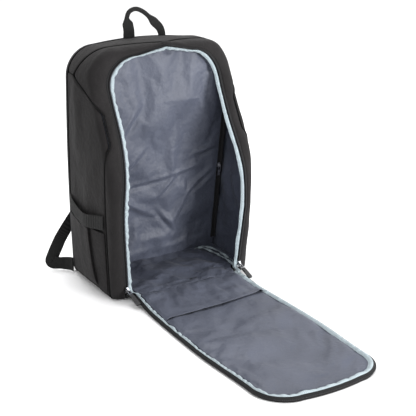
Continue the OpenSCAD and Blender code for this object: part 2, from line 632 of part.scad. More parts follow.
// ---------- handle ----------
module grab_handle() {
    hx = 13;
    ctrl = [[-0.5, 0], [-0.5, 0.2], [-0.52, 0.45], [-0.52, 0.7], [-0.42, 0.92], [-0.22, 1], [-0.02, 0.88],
        [0.15, 0.66], [0.3, 0.42], [0.44, 0.2], [0.5, 0]];
    p = spline([for (c = ctrl) [hx + c.x * handle_span, handle_y + 8 * c.y * c.y,
        handle_z + c.y * (handle_rise - grip_width / 2)]], 28);
    k = [for (q = p) smooth(((q.z - handle_z) - 0.38 * handle_rise) / (0.25 * handle_rise))];
    color([0.06, 0.06, 0.06]) skinned(strip_rings(p, [for (i = [0:len(p) - 1]) cross([0, 1, -0.14], tangent(p, i))],
        [for (v = k) mix(handle_width, grip_width, v) / 2],
        [for (v = k) mix(handle_thick, handle_thick * 1.8, v) / 2], 4));
}

// ---------- shoulder straps ----------
lock_x = -0.33 * body_width;
lock_y = back_y + 23;
lock_z = 152;
lock_tilt = 20;
function lock_pt(q) = [lock_x + q.x * cos(lock_tilt) + q.z * sin(lock_tilt), lock_y + q.y,
    lock_z - q.x * sin(lock_tilt) + q.z * cos(lock_tilt)];
function pad_path() = let (b = back_y, h = body_height, e = lock_pt([0, 0, 21]))
    spline([[-50, b + 6.6, h - 19], [-50, b + 11, h - 37], [-50, b + 17, h - 65], [-52, b + 22.5, h - 108],
        [-57, b + 25, mix(h, lock_z, 0.52)], [-67, b + 25, mix(h, lock_z, 0.69)],
        mix([-67, b + 25, mix(h, lock_z, 0.69)], e, 0.55), e], 20);
module strap_pad(s) {
    p = pad_path();
    n = len(p) - 1;
    r = strip_rings(p, [for (i = [0:n]) [1, 0, -0.3 * i / n]],
        [for (i = [0:n]) mix(strap_width, web_width + 4, smooth((i / n - 0.72) / 0.28)) / 2],
        [for (i = [0:n]) strap_thick / 2 * (i == 0 || i == n ? 0.7 : 1)], 8);
    color([0.08, 0.08, 0.09]) if (s < 0) skinned(r); else skinned(flip(mirrored(r)));
}
module strap_pad_left() {
    strap_pad(-1);
}
module strap_pad_right() {
    strap_pad(1);
}
function web_ctrl() = let (b = back_y, x = -half_w)
    [[x - 13, b + 6, 15.5], [x - 22, b + 14, 15], [x - 30, b + 21, 19], [x - 28, b + 25.5, 31],
    [x - 20, b + 27, 47], [x - 7, b + 27.5, 69], [x + 12, b + 27, 96], lock_pt([-3, 6, -26]),
    lock_pt([0, 3.6, -17]), lock_pt([0, 3.4, -12]), lock_pt([0, 0, -7.8]), lock_pt([0, -3.4, -3.8]),
    lock_pt([0, -3.4, 3.8]), lock_pt([0, 0, 7.8]), lock_pt([0, 3.4, 12]), lock_pt([0, 3.6, 15.5])];
web_turn = [[0, 0, 1], [0.1, 0, 1], [0.8, -0.35, 0.5], [0.9, -0.42, 0.1], [0.86, -0.42, -0.25],
    [0.86, -0.36, -0.35], [0.9, -0.2, -0.4], [0.94, 0, -0.34]];
module strap_web(s) {
    c = web_ctrl();
    w = [for (i = [0:len(c) - 1]) web_turn[min(7, i)]];
    n = 30;
    p = spline(c, n);
    d = spline(w, n);
    r = strip_rings(p, d, [for (q = p) web_width / 2], [for (q = p) web_thick / 2], 4);
    color([0.05, 0.05, 0.05]) if (s < 0) skinned(r); else skinned(flip(mirrored(r)));
}
module strap_webbing_left() {
    strap_web(-1);
}
module strap_webbing_right() {
    strap_web(1);
}
module ladder_lock() {
    color([0.04, 0.04, 0.04]) translate([lock_x, lock_y, lock_z]) rotate([0, lock_tilt, 0]) difference() {
        translate([-web_width / 2 - 5, -2, -15]) cube([web_width + 10, 4, 30]);
        for (z = [-11.5, 4]) translate([-web_width / 2 - 1, -3, z]) cube([web_width + 2, 6, 7.5]);
    }
}
module ladder_lock_left() {
    ladder_lock();
}
module ladder_lock_right() {
    mirror([1, 0, 0]) ladder_lock();
}
module anchor_tab(s) {
    x = -half_w - 3.4;
    p = [[x, back_y - 13, 17], [x - 2, back_y - 5, 16.5], [x - 8.6, back_y + 4.6, 16]];
    r = strip_rings(p, [for (q = p) [0, 0, 1]], [15, 14.5, 14], [1.1, 1.1, 1.1], 4);
    color([0.05, 0.05, 0.05]) if (s < 0) skinned(r); else skinned(flip(mirrored(r)));
}
module strap_anchor_left() {
    anchor_tab(-1);
}
module strap_anchor_right() {
    anchor_tab(1);
}

back_panel();
back_padding();
side_panel_left();
side_panel_right();
top_panel();
base_panel();
front_yoke();
front_piping();
back_piping();
opening_zip();
opening_binding();
lining_shell();
lining_floor();
divider_face();
divider_padding();
inner_zip();
inner_zip_slider();
inner_zip_pull();
zip_slider_left();
zip_slider_right();
zip_ring_left();
zip_ring_right();
zip_pull_left();
zip_pull_right();
flap_outer_lower();
flap_outer_upper();
flap_lining_lower();
flap_lining_upper();
flap_padding_lower();
flap_padding_upper();
flap_zip_lower();
flap_zip_upper();
flap_binding_lower();
flap_binding_upper();
slip_pocket();
flap_hinge();
side_pocket_left();
side_pocket_right();
pocket_elastic_left();
pocket_elastic_right();
grab_handle();
strap_pad_left();
strap_pad_right();
strap_webbing_left();
strap_webbing_right();
ladder_lock_left();
ladder_lock_right();
strap_anchor_left();
strap_anchor_right();
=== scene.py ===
"""Travel backpack standing on its base, its front flap laid open on the floor."""
import logging
import math
from dataclasses import dataclass
from enum import Enum
from typing import Callable, Sequence

import bpy
import numpy as np
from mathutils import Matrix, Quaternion, Vector, noise


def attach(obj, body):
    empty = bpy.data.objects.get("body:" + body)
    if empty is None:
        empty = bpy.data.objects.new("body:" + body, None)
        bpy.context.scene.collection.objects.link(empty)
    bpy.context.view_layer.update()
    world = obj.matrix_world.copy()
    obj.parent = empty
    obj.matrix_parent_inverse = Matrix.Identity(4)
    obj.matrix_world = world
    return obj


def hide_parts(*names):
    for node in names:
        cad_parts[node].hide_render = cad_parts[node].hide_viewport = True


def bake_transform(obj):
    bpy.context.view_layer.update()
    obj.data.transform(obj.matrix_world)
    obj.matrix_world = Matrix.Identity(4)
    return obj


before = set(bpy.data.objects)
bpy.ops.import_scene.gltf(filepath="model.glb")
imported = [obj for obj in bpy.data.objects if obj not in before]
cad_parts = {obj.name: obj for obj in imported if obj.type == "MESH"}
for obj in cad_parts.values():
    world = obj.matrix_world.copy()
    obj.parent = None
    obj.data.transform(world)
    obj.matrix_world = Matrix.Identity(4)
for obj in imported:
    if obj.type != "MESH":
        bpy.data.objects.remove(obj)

log = logging.getLogger("backpack")
MM = 0.001
Point = tuple[float, float, float]


# ---------------------------------------------------------------- numbers and grids
def clamp(t: float, low: float = 0.0, high: float = 1.0) -> float:
    """Keep t between low and high."""
    return min(high, max(low, t))


def ease(t: float) -> float:
    """Smooth step from 0 to 1."""
    t = clamp(t)
    return t * t * (3 - 2 * t)


def mix(a: float, b: float, t: float) -> float:
    """Straight blend from a to b."""
    return a + (b - a) * t


def spread(first: float, last: float, count: int) -> list[float]:
    """Evenly spaced values, both ends included."""
    return list(np.linspace(first, last, count))


def side_name(sign: float) -> str:
    """Name of the side that a sign stands for."""
    return "left" if sign < 0 else "right"


def bump(x: float, centre: float, width: float) -> float:
    """Bell of height 1 round a centre."""
    return math.exp(-(((x - centre) / width) ** 2))


def wave(p: Sequence[float], size: Sequence[float], seed: float) -> float:
    """Soft random value near -0.6 to 0.6 at a point.

    Args:
        p: place in millimetres.
        size: how long a ripple is along X, Y and Z.
        seed: which pattern.

    Returns:
        The value of the pattern there.
    """
    return noise.noise(
        Vector((p[0] / size[0] + 7.3 * seed, p[1] / size[1] - 3.1 * seed, p[2] / size[2] + seed))
    )


def lattice(rows: Sequence[float], cols: Sequence[float], at: Callable[[float, float], Point]) -> np.ndarray:
    """Points of a surface for every row and column value.

    Args:
        rows: values of the first parameter.
        cols: values of the second parameter.
        at: the surface.

    Returns:
        An array of rows x columns x 3, in millimetres.
    """
    return np.array([[at(r, c) for c in cols] for r in rows], float)


def grid_normals(grid: np.ndarray) -> np.ndarray:
    """Unit normals of a grid, row direction crossed with column direction."""
    n = np.cross(np.gradient(grid, axis=0), np.gradient(grid, axis=1))
    return n / np.maximum(np.linalg.norm(n, axis=2, keepdims=True), 1e-9)


def shifted(
    grid: np.ndarray, amount: Callable[[np.ndarray, int, int], float], side: float = 1.0
) -> np.ndarray:
    """Move each grid point along its normal.

    Args:
        grid: the surface.
        amount: distance for a point, its row and its column.
        side: 1 along the grid normal and -1 against it.

    Returns:
        The moved surface.
    """
    normals = grid_normals(grid)
    out = grid.copy()
    for i in range(grid.shape[0]):
        for j in range(grid.shape[1]):
            out[i, j] += side * amount(grid[i, j], i, j) * normals[i, j]
    return out


def edge_distance(grid: np.ndarray) -> tuple[np.ndarray, np.ndarray, np.ndarray, np.ndarray]:
    """Distance of each point from the four edges.

    Args:
        grid: the surface.

    Returns:
        Distances from the first column, last column, first row and last row.
    """
    rows, cols = grid.shape[:2]
    steps_across = np.linalg.norm(np.diff(grid, axis=1), axis=2)
    steps_along = np.linalg.norm(np.diff(grid, axis=0), axis=2)
    across = np.concatenate([np.zeros((rows, 1)), np.cumsum(steps_across, axis=1)], axis=1)
    along = np.concatenate([np.zeros((1, cols)), np.cumsum(steps_along, axis=0)], axis=0)
    return across, across[:, -1:] - across, along, along[-1:] - along


def mirror_x(grid: np.ndarray) -> np.ndarray:
    """The same surface on the other side of the bag, still facing the same way."""
    return (grid * np.array([-1.0, 1.0, 1.0]))[:, ::-1]


def spline(points: Sequence[Point], count: int) -> np.ndarray:
    """Smooth curve through control points.

    Args:
        points: control points.
        count: how many points come back.

    Returns:
        An array of count x 3.
    """
    p = np.array(points, float)
    n = len(p) - 1
    out = []
    for s in np.linspace(0, n, count):
        i = min(n - 1, int(s))
        t = s - i
        a, b, c, d = p[max(0, i - 1)], p[i], p[i + 1], p[min(n, i + 2)]
        square, cube = 2 * a - 5 * b + 4 * c - d, 3 * b - a - 3 * c + d
        out.append(0.5 * (2 * b + (c - a) * t + square * t**2 + cube * t**3))
    return np.array(out)


# ---------------------------------------------------------------- making meshes
def only(obj: bpy.types.Object) -> None:
    """Select and activate one object alone."""
    bpy.ops.object.select_all(action="DESELECT")
    obj.select_set(True)
    bpy.context.view_layer.objects.active = obj


def apply_modifier(obj: bpy.types.Object, kind: str, **settings: object) -> None:
    """Add a modifier, set it and apply it."""
    only(obj)
    modifier = obj.modifiers.new(kind.title(), kind)
    for key, value in settings.items():
        setattr(modifier, key, value)
    bpy.ops.object.modifier_apply(modifier=modifier.name)


def cloth_piece(
    name: str, grid: np.ndarray, thick: float, smooth: int = 1, flip: bool = False, offset: float = -1.0
) -> bpy.types.Object:
    """A sheet of cloth with thickness laid over a grid of points.

    Args:
        name: name of the piece.
        grid: its surface in millimetres, facing along its normals.
        thick: thickness in millimetres, 0 for none.
        smooth: levels of subdivision.
        flip: True where the grid faces backwards.
        offset: -1 puts the thickness behind the surface and 1 in front of it.

    Returns:
        The piece.
    """
    if not flip:
        grid = grid[:, ::-1]
    rows, cols = grid.shape[:2]
    bpy.ops.object.select_all(action="DESELECT")
    bpy.ops.mesh.primitive_grid_add(x_subdivisions=cols - 1, y_subdivisions=rows - 1, size=1.0)
    obj = bpy.context.active_object
    obj.name = obj.data.name = name
    obj.data.vertices.foreach_set("co", (grid * MM).reshape(-1).astype(np.float32))
    steps_col = np.linalg.norm(np.diff(grid, axis=1), axis=2).sum(axis=1).mean() * MM
    steps_row = np.linalg.norm(np.diff(grid, axis=0), axis=2).sum(axis=0).mean() * MM
    layer = obj.data.uv_layers.active.data
    uv = np.zeros(len(layer) * 2)
    layer.foreach_get("uv", uv)
    layer.foreach_set("uv", (uv.reshape(-1, 2) * [steps_col, steps_row]).reshape(-1))
    obj.data.update()
    if thick:
        apply_modifier(obj, "SOLIDIFY", thickness=thick * MM, offset=offset, use_quality_normals=True)
    if smooth:
        apply_modifier(obj, "SUBSURF", levels=smooth, render_levels=smooth)
    bpy.ops.object.shade_smooth()
    return obj


@dataclass(frozen=True)
class Slack:
    """How a held piece of cloth with too much cloth in it settles.

    The growth is the share of spare cloth, and the room is how far it may move against and along its normals.
    """

    growth: float = 0.03
    room: tuple[float, float] = (6.0, 6.0)
    bending: float = 0.25
    frames: int = 16
    free_end: bool = False
    seed: float = 1.0
    ripple: float = 0.8

    def settle(self, grid: np.ndarray) -> np.ndarray:
        """Let the cloth buckle between its held edges.

        Args:
            grid: the cloth lying flat in its place, in millimetres.

        Returns:
            The same grid after it has buckled.
        """
        start = shifted(grid, lambda p, i, j: self.ripple * wave(p, (24, 24, 24), self.seed))
        rows, cols = grid.shape[:2]
        obj = cloth_piece("slack_cloth", start, 0, 0, True)
        ends = (0,) if self.free_end else (0, rows - 1)
        held = [i * cols + j for i in range(rows) for j in range(cols) if i in ends or j in (0, cols - 1)]
        obj.vertex_groups.new(name="held").add(held, 1.0, "REPLACE")
        modifier = obj.modifiers.new("Slack", "CLOTH")
        cloth = modifier.settings
        cloth.quality = 5
        cloth.mass = 0.3
        cloth.tension_stiffness = cloth.compression_stiffness = 15
        cloth.shear_stiffness = 5
        cloth.bending_stiffness = self.bending
        cloth.air_damping = 2
        cloth.shrink_min = -self.growth
        cloth.vertex_group_mass = "held"
        cloth.effector_weights.gravity = 0
        modifier.collision_settings.use_collision = False
        modifier.point_cache.frame_start = 1
        modifier.point_cache.frame_end = self.frames
        scene = bpy.context.scene
        for step in range(1, self.frames + 1):
            scene.frame_set(step)
        posed = obj.evaluated_get(bpy.context.evaluated_depsgraph_get())
        flat = np.zeros(rows * cols * 3, np.float32)
        posed.data.vertices.foreach_get("co", flat)
        bpy.data.objects.remove(obj)
        scene.frame_set(1)
        move = flat.reshape(rows, cols, 3).astype(float) / MM - grid
        normals = grid_normals(grid)
        along = (move * normals).sum(axis=2, keepdims=True)
        room = np.where(along > 0, self.room[1], self.room[0])
        kept = room * np.tanh(along / room)
        log.info("slack cloth moved by up to %.1f mm", float(np.abs(along).max()))
        return grid + move + (kept - along) * normals


def skinned(name: str, rings: np.ndarray, smooth: int = 0, crease: float = 180.0) -> bpy.types.Object:
    """A closed skin over a row of rings, with a cap at each end.

    Args:
        name: name of the piece.
        rings: rings x points x 3, in millimetres.
        smooth: levels of subdivision.
        crease: angle in degrees above which edges stay sharp.

    Returns:
        The piece.
    """
    rings = np.concatenate([rings, rings[:, :1]], axis=1)
    obj = cloth_piece(name, rings, 0, 0, True)
    only(obj)
    bpy.ops.object.mode_set(mode="EDIT")
    bpy.ops.mesh.select_all(action="SELECT")
    bpy.ops.mesh.remove_doubles(threshold=1e-6)
    bpy.ops.mesh.fill_holes(sides=0)
    bpy.ops.mesh.select_all(action="SELECT")
    bpy.ops.mesh.normals_make_consistent(inside=False)
    bpy.ops.object.mode_set(mode="OBJECT")
    if smooth:
        apply_modifier(obj, "SUBSURF", levels=smooth, render_levels=smooth)
    if crease < 180:
        bpy.ops.object.shade_smooth_by_angle(angle=math.radians(crease))
    else:
        bpy.ops.object.shade_smooth()
    return obj


def cord_rings(path: np.ndarray, radius: Callable[[int], float], sides: int = 8) -> np.ndarray:
    """Round rings along a path, carried along without twist.

    Args:
        path: points in millimetres.
        radius: radius at a point's number.
        sides: points in each ring.

    Returns:
        The rings.
    """
    tangents = np.gradient(path, axis=0)
    tangents /= np.linalg.norm(tangents, axis=1, keepdims=True)
    a = np.cross(tangents[0], [0.3, 0.2, 0.9])
    rings = []
    for i, t in enumerate(tangents):
        a = a - t * (a @ t)
        a /= np.linalg.norm(a)
        b = np.cross(t, a)
        turn = [2 * math.pi * k / sides for k in range(sides)]
        rings.append([path[i] + radius(i) * (a * math.cos(c) + b * math.sin(c)) for c in turn])
    return np.array(rings)


def strap_rings(
    path: np.ndarray,
    width_dir: np.ndarray,
    half_width: Sequence[float],
    half_thick: Sequence[float],
    sides: int,
) -> np.ndarray:
    """Flat rings with rounded edges along a path.

    Args:
        path: centre line in millimetres.
        width_dir: direction of the width at each point.
        half_width: half the width at each point.
        half_thick: half the thickness at each point.
        sides: points in each ring.

    Returns:
        The rings.
    """
    tangents = np.gradient(path, axis=0)
    rings = []
    for i, t in enumerate(tangents):
        t = t / np.linalg.norm(t)
        b = np.cross(t, width_dir[i])
        b /= np.linalg.norm(b)
        a = np.cross(b, t)
        ring = []
        for k in range(sides):
            c = 2 * math.pi * (k + 0.5) / sides
            x = math.copysign(abs(math.cos(c)) ** 0.4, math.cos(c))
            y = math.copysign(abs(math.sin(c)) ** 0.6, math.sin(c))
            ring.append(path[i] + a * half_width[i] * x + b * half_thick[i] * y)
        rings.append(ring)
    return np.array(rings)


def block(name: str, centre: Point, size: Point, rounding: float = 0.4) -> bpy.types.Object:
    """A moulded block with rounded edges.

    Args:
        name: name of the piece.
        centre: its middle in millimetres.
        size: its lengths along X, Y and Z.
        rounding: radius of its edges.

    Returns:
        The block, with its place in its mesh.
    """
    bpy.ops.object.select_all(action="DESELECT")
    bpy.ops.mesh.primitive_cube_add(size=1.0, location=[c * MM for c in centre])
    obj = bpy.context.active_object
    obj.name = obj.data.name = name
    obj.scale = [s * MM for s in size]
    bpy.ops.object.transform_apply(location=True, rotation=True, scale=True)
    apply_modifier(obj, "BEVEL", width=rounding * MM, segments=3, limit_method="NONE")
    bpy.ops.object.shade_smooth_by_angle(angle=math.radians(40))
    return obj


def joined(name: str, parts: Sequence[bpy.types.Object]) -> bpy.types.Object:
    """Several meshes of one moulding joined under one name."""
    bpy.ops.object.select_all(action="DESELECT")
    for part in parts:
        part.select_set(True)
    bpy.context.view_layer.objects.active = parts[0]
    bpy.ops.object.join()
    obj = bpy.context.active_object
    obj.name = obj.data.name = name
    return obj


# ---------------------------------------------------------------- finishes
class Tree:
    """Short hand for a material's nodes."""

    def __init__(self, name: str) -> None:
        """Start a material with one Principled shader."""
        self.material = bpy.data.materials.new(name + "_finish")
        self.material.use_nodes = True
        self.nodes = self.material.node_tree.nodes
        self.links = self.material.node_tree.links
        self.shader = self.nodes["Principled BSDF"]
        self.coords = self.nodes.new("ShaderNodeTexCoord")

    def add(self, kind: str, inputs: dict[str, object] | None = None, **settings: object) -> bpy.types.Node:
        """Add a node.

        Args:
            kind: the node's type without its prefix.
            inputs: values or sockets for its inputs by name or number.
            settings: its properties.

        Returns:
            The node.
        """
        node = self.nodes.new("ShaderNode" + kind)
        for key, value in settings.items():
            setattr(node, key, value)
        for key, value in (inputs or {}).items():
            if isinstance(value, bpy.types.NodeSocket):
                self.links.new(value, node.inputs[key])
            else:
                node.inputs[key].default_value = value
        return node

    def noise(self, scale: float, detail: float = 3.0, source: str = "Object") -> bpy.types.NodeSocket:
        """Cloudy pattern with about scale clouds to the metre."""
        inputs = {"Vector": self.coords.outputs[source], "Scale": scale, "Detail": detail}
        return self.add("TexNoise", inputs).outputs["Fac"]

    def ribs(self, period: float, axis: str, source: str = "UV") -> bpy.types.NodeSocket:
        """Even ribs, one every period metres."""
        scale = math.pi / 10 / period
        inputs = {"Vector": self.coords.outputs[source], "Scale": scale, "Distortion": 0.4, "Detail": 1.0}
        return self.add("TexWave", inputs, bands_direction=axis).outputs["Fac"]

    def tint(
        self, fac: bpy.types.NodeSocket, dark: Point, light: Point, low: float = 0.3, high: float = 0.7
    ) -> bpy.types.NodeSocket:
        """Colour between two shades by a pattern."""
        ramp = self.add("ValToRGB", {"Fac": fac})
        ramp.color_ramp.elements[0].position = low
        ramp.color_ramp.elements[1].position = high
        ramp.color_ramp.elements[0].color = (*dark, 1)
        ramp.color_ramp.elements[1].color = (*light, 1)
        return ramp.outputs["Color"]

    def relief(self, layers: Sequence[tuple[bpy.types.NodeSocket, float, float]]) -> None:
        """Lay bumps over one another on the shader's normal.

        Args:
            layers: pattern, strength and height in metres of each.
        """
        last = None
        for height, strength, distance in layers:
            inputs = {"Height": height, "Strength": strength, "Distance": distance}
            if last:
                inputs["Normal"] = last
            last = self.add("Bump", inputs).outputs["Normal"]
        self.links.new(last, self.shader.inputs["Normal"])

    def done(self, color: bpy.types.NodeSocket | Point, **values: float) -> bpy.types.Material:
        """Set the shader's colour and its plain values."""
        if isinstance(color, bpy.types.NodeSocket):
            self.links.new(color, self.shader.inputs["Base Color"])
        else:
            self.shader.inputs["Base Color"].default_value = (*color, 1)
        for key, value in values.items():
            self.shader.inputs[key.replace("_", " ")].default_value = value
        return self.material


@dataclass(frozen=True)
class WovenCloth:
    """Plain woven polyester with crumples and slight colour changes."""

    name: str
    dark: Point
    light: Point
    roughness: float = 0.8
    sheen: float = 0.25
    weave: float = 0.0011
    weave_height: float = 0.00025
    crumple: float = 0.4
    crumple_scale: float = 34.0
    specular: float = 0.3

    def build(self) -> bpy.types.Material:
        """Make the material."""
        t = Tree(self.name)
        warp, weft = t.ribs(self.weave, "X"), t.ribs(self.weave, "Y")
        weave = t.add("Math", {0: warp, 1: weft}, operation="MULTIPLY").outputs[0]
        cloud, grain = t.noise(14, 2), t.noise(900, 2)
        shade = t.add("Math", {0: cloud, 1: grain}, operation="ADD").outputs[0]
        half = t.add("Math", {0: shade, 1: 0.5}, operation="MULTIPLY").outputs[0]
        large = (t.noise(self.crumple_scale, 4), self.crumple, 0.004)
        small = (t.noise(self.crumple_scale * 4, 3), self.crumple * 0.6, 0.0012)
        t.relief([large, small, (weave, 0.5, self.weave_height)])
        return t.done(
            t.tint(half, self.dark, self.light, 0.36, 0.64),
            Roughness=self.roughness,
            Sheen_Weight=self.sheen,
            Sheen_Roughness=0.5,
            Specular_IOR_Level=self.specular,
        )


@dataclass(frozen=True)
class RibbedTape:
    """Tape or webbing with ribs across it; the hollows between the ribs are coloured darker as painted shade.
    """

    name: str
    shaded_groove: Point
    rib: Point
    period: float = 0.0014
    height: float = 0.0005
    roughness: float = 0.7
    sheen: float = 0.2
    axis: str = "Y"
    crumple: float = 0.2
    specular: float = 0.2

    def build(self) -> bpy.types.Material:
        """Make the material."""
        t = Tree(self.name)
        ribs = t.ribs(self.period, self.axis)
        threads = t.ribs(self.period * 0.7, "X" if self.axis == "Y" else "Y")
        crumples = (t.noise(120, 3), self.crumple, 0.001)
        t.relief([crumples, (ribs, 0.7, self.height), (threads, 0.3, self.height * 0.4)])
        return t.done(
            # painted shade: the rib pattern colours the hollows between the ribs darker than the ribs
            t.tint(ribs, self.shaded_groove, self.rib, 0.1, 0.7),
            Roughness=self.roughness,
            Sheen_Weight=self.sheen,
            Specular_IOR_Level=self.specular,
        )


@dataclass(frozen=True)
class AirMesh:
    """Spacer mesh with rows of small holes, the holes coloured darker as painted shade."""

    name: str
    shaded_hole: Point
    thread: Point
    scale: float = 330.0

    def build(self) -> bpy.types.Material:
        """Make the material."""
        t = Tree(self.name)
        inputs = {"Vector": t.coords.outputs["Object"], "Scale": self.scale, "Randomness": 0.25}
        cells = t.add("TexVoronoi", inputs).outputs["Distance"]
        t.relief([(t.noise(30, 3), 0.3, 0.003), (cells, 0.8, 0.0009)])
        # painted shade: the cell centres, which are the holes, are coloured darker than the threads
        shade = t.tint(cells, self.shaded_hole, self.thread, 0.1, 0.5)
        return t.done(shade, Roughness=0.85, Sheen_Weight=0.05, Specular_IOR_Level=0.2)


@dataclass(frozen=True)
class Moulded:
    """Metal, plastic or rubber, with fine wear in its gloss."""

    name: str
    color: Point
    metallic: float = 0.0
    rough_low: float = 0.3
    rough_high: float = 0.45
    grain: float = 0.0002

    def build(self) -> bpy.types.Material:
        """Make the material."""
        t = Tree(self.name)
        wear = t.noise(260, 4)
        inputs = {"Value": wear, "To Min": self.rough_low, "To Max": self.rough_high}
        rough = t.add("MapRange", inputs).outputs["Result"]
        t.links.new(rough, t.shader.inputs["Roughness"])
        t.relief([(t.noise(1500, 2), 0.3, self.grain)])
        shade = tuple(0.82 * c for c in self.color)
        return t.done(t.tint(wear, shade, self.color), Metallic=self.metallic)


@dataclass(frozen=True)
class StudioPaper:
    """Pale seamless paper."""

    name: str = "studio_paper"
    color: Point = (0.9, 0.9, 0.905)

    def build(self) -> bpy.types.Material:
        """Make the material."""
        t = Tree(self.name)
        t.relief([(t.noise(40, 2), 0.05, 0.0005)])
        return t.done(t.tint(t.noise(6, 2), tuple(0.985 * c for c in self.color), self.color), Roughness=0.9)


class Finish(Enum):
    """Every finish on the bag, by the record's slot where it has one."""

    OUTER = WovenCloth(
        "outer_cloth", (0.0074, 0.0066, 0.0069), (0.0134, 0.0122, 0.0126), sheen=0.03, crumple=0.7,
        specular=0.16,
    )
    BASE = WovenCloth(
        "base_cloth", (0.012, 0.012, 0.013), (0.018, 0.018, 0.02), roughness=0.6, sheen=0.1, weave=0.0018
    )
    LINING = WovenCloth(
        "lining", (0.044, 0.050, 0.071), (0.064, 0.072, 0.100), roughness=0.52, sheen=0.05, weave=0.0007,
        weave_height=0.00008, crumple=0.8, crumple_scale=26.0, specular=0.34,
    )
    # first colour: painted shade in the holes of the air mesh
    BACK = AirMesh("back_cloth", (0.008, 0.008, 0.009), (0.028, 0.028, 0.03))
    PIPING = WovenCloth(
        "piping", (0.003, 0.003, 0.003), (0.006, 0.006, 0.006), roughness=0.7, sheen=0.0, weave=0.0008,
        specular=0.08,
    )
    # the first colour of each RibbedTape is painted shade for the hollows between its ribs
    TAPE = RibbedTape("zip_tape", (0.004, 0.004, 0.0045), (0.011, 0.011, 0.012), 0.0011, 0.0003, sheen=0.05)
    COIL = RibbedTape("zip_coil", (0.004, 0.004, 0.005), (0.016, 0.016, 0.017), 0.0014, 0.0008, 0.4, 0.0)
    BINDING = RibbedTape(
        "binding", (0.20, 0.245, 0.265), (0.36, 0.42, 0.45), 0.0012, 0.00035, 0.5, 0.1, crumple=0.7
    )
    ELASTIC = RibbedTape(
        "elastic", (0.004, 0.004, 0.004), (0.012, 0.012, 0.012), 0.0016, 0.0007, sheen=0.03, axis="X"
    )
    WEBBING = RibbedTape("webbing", (0.003, 0.003, 0.003), (0.011, 0.011, 0.011), 0.0015, 0.0006, sheen=0.03)
    METAL = Moulded("slider_metal", (0.50, 0.51, 0.53), 1.0, 0.16, 0.3, 0.0001)
    SMALL_METAL = Moulded("small_metal", (0.55, 0.55, 0.57), 1.0, 0.22, 0.36, 0.0001)
    RUBBER = Moulded("pull_rubber", (0.018, 0.018, 0.019), 0.0, 0.42, 0.6, 0.0004)
    PLASTIC = Moulded("buckle_plastic", (0.022, 0.022, 0.024), 0.0, 0.32, 0.45, 0.0003)
    PAPER = StudioPaper()

    def material(self) -> bpy.types.Material:
        """The finish's material, made once."""
        return bpy.data.materials.get(self.value.name + "_finish") or self.value.build()


def dress(obj: bpy.types.Object, finish: Finish) -> bpy.types.Object:
    """Give a piece its finish.

    Args:
        obj: the piece.
        finish: its finish.

    Returns:
        The same piece.
    """
    obj.data.materials.clear()
    obj.data.materials.append(finish.material())
    return obj


def dress_node(node: str, finish: Finish) -> None:
    """Give a CAD part that stays in sight its finish."""
    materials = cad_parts[node].data.materials
    materials.clear()
    materials.append(finish.material())
    log.info("%s dressed", node)


def settle(
    obj: bpy.types.Object, finish: Finish, body: str | tuple, nodes: Sequence[str] = ()
) -> bpy.types.Object:
    """Dress a piece, fix it to its body or bake it in place, and let it stand for its CAD nodes.

    Args:
        obj: the finished piece.
        finish: its finish.
        body: body it rides on, or a tuple (body, body, start, end) that is not used; with a tuple the piece
            is only baked in place.
        nodes: CAD nodes that it replaces.

    Returns:
        The same piece.
    """
    dress(obj, finish)
    if isinstance(body, str):
        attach(obj, body)
    else:
        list(body)
        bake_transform(obj)
    if nodes:
        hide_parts(*nodes)
    log.info("%s: %d faces", obj.name, len(obj.data.polygons))
    return obj


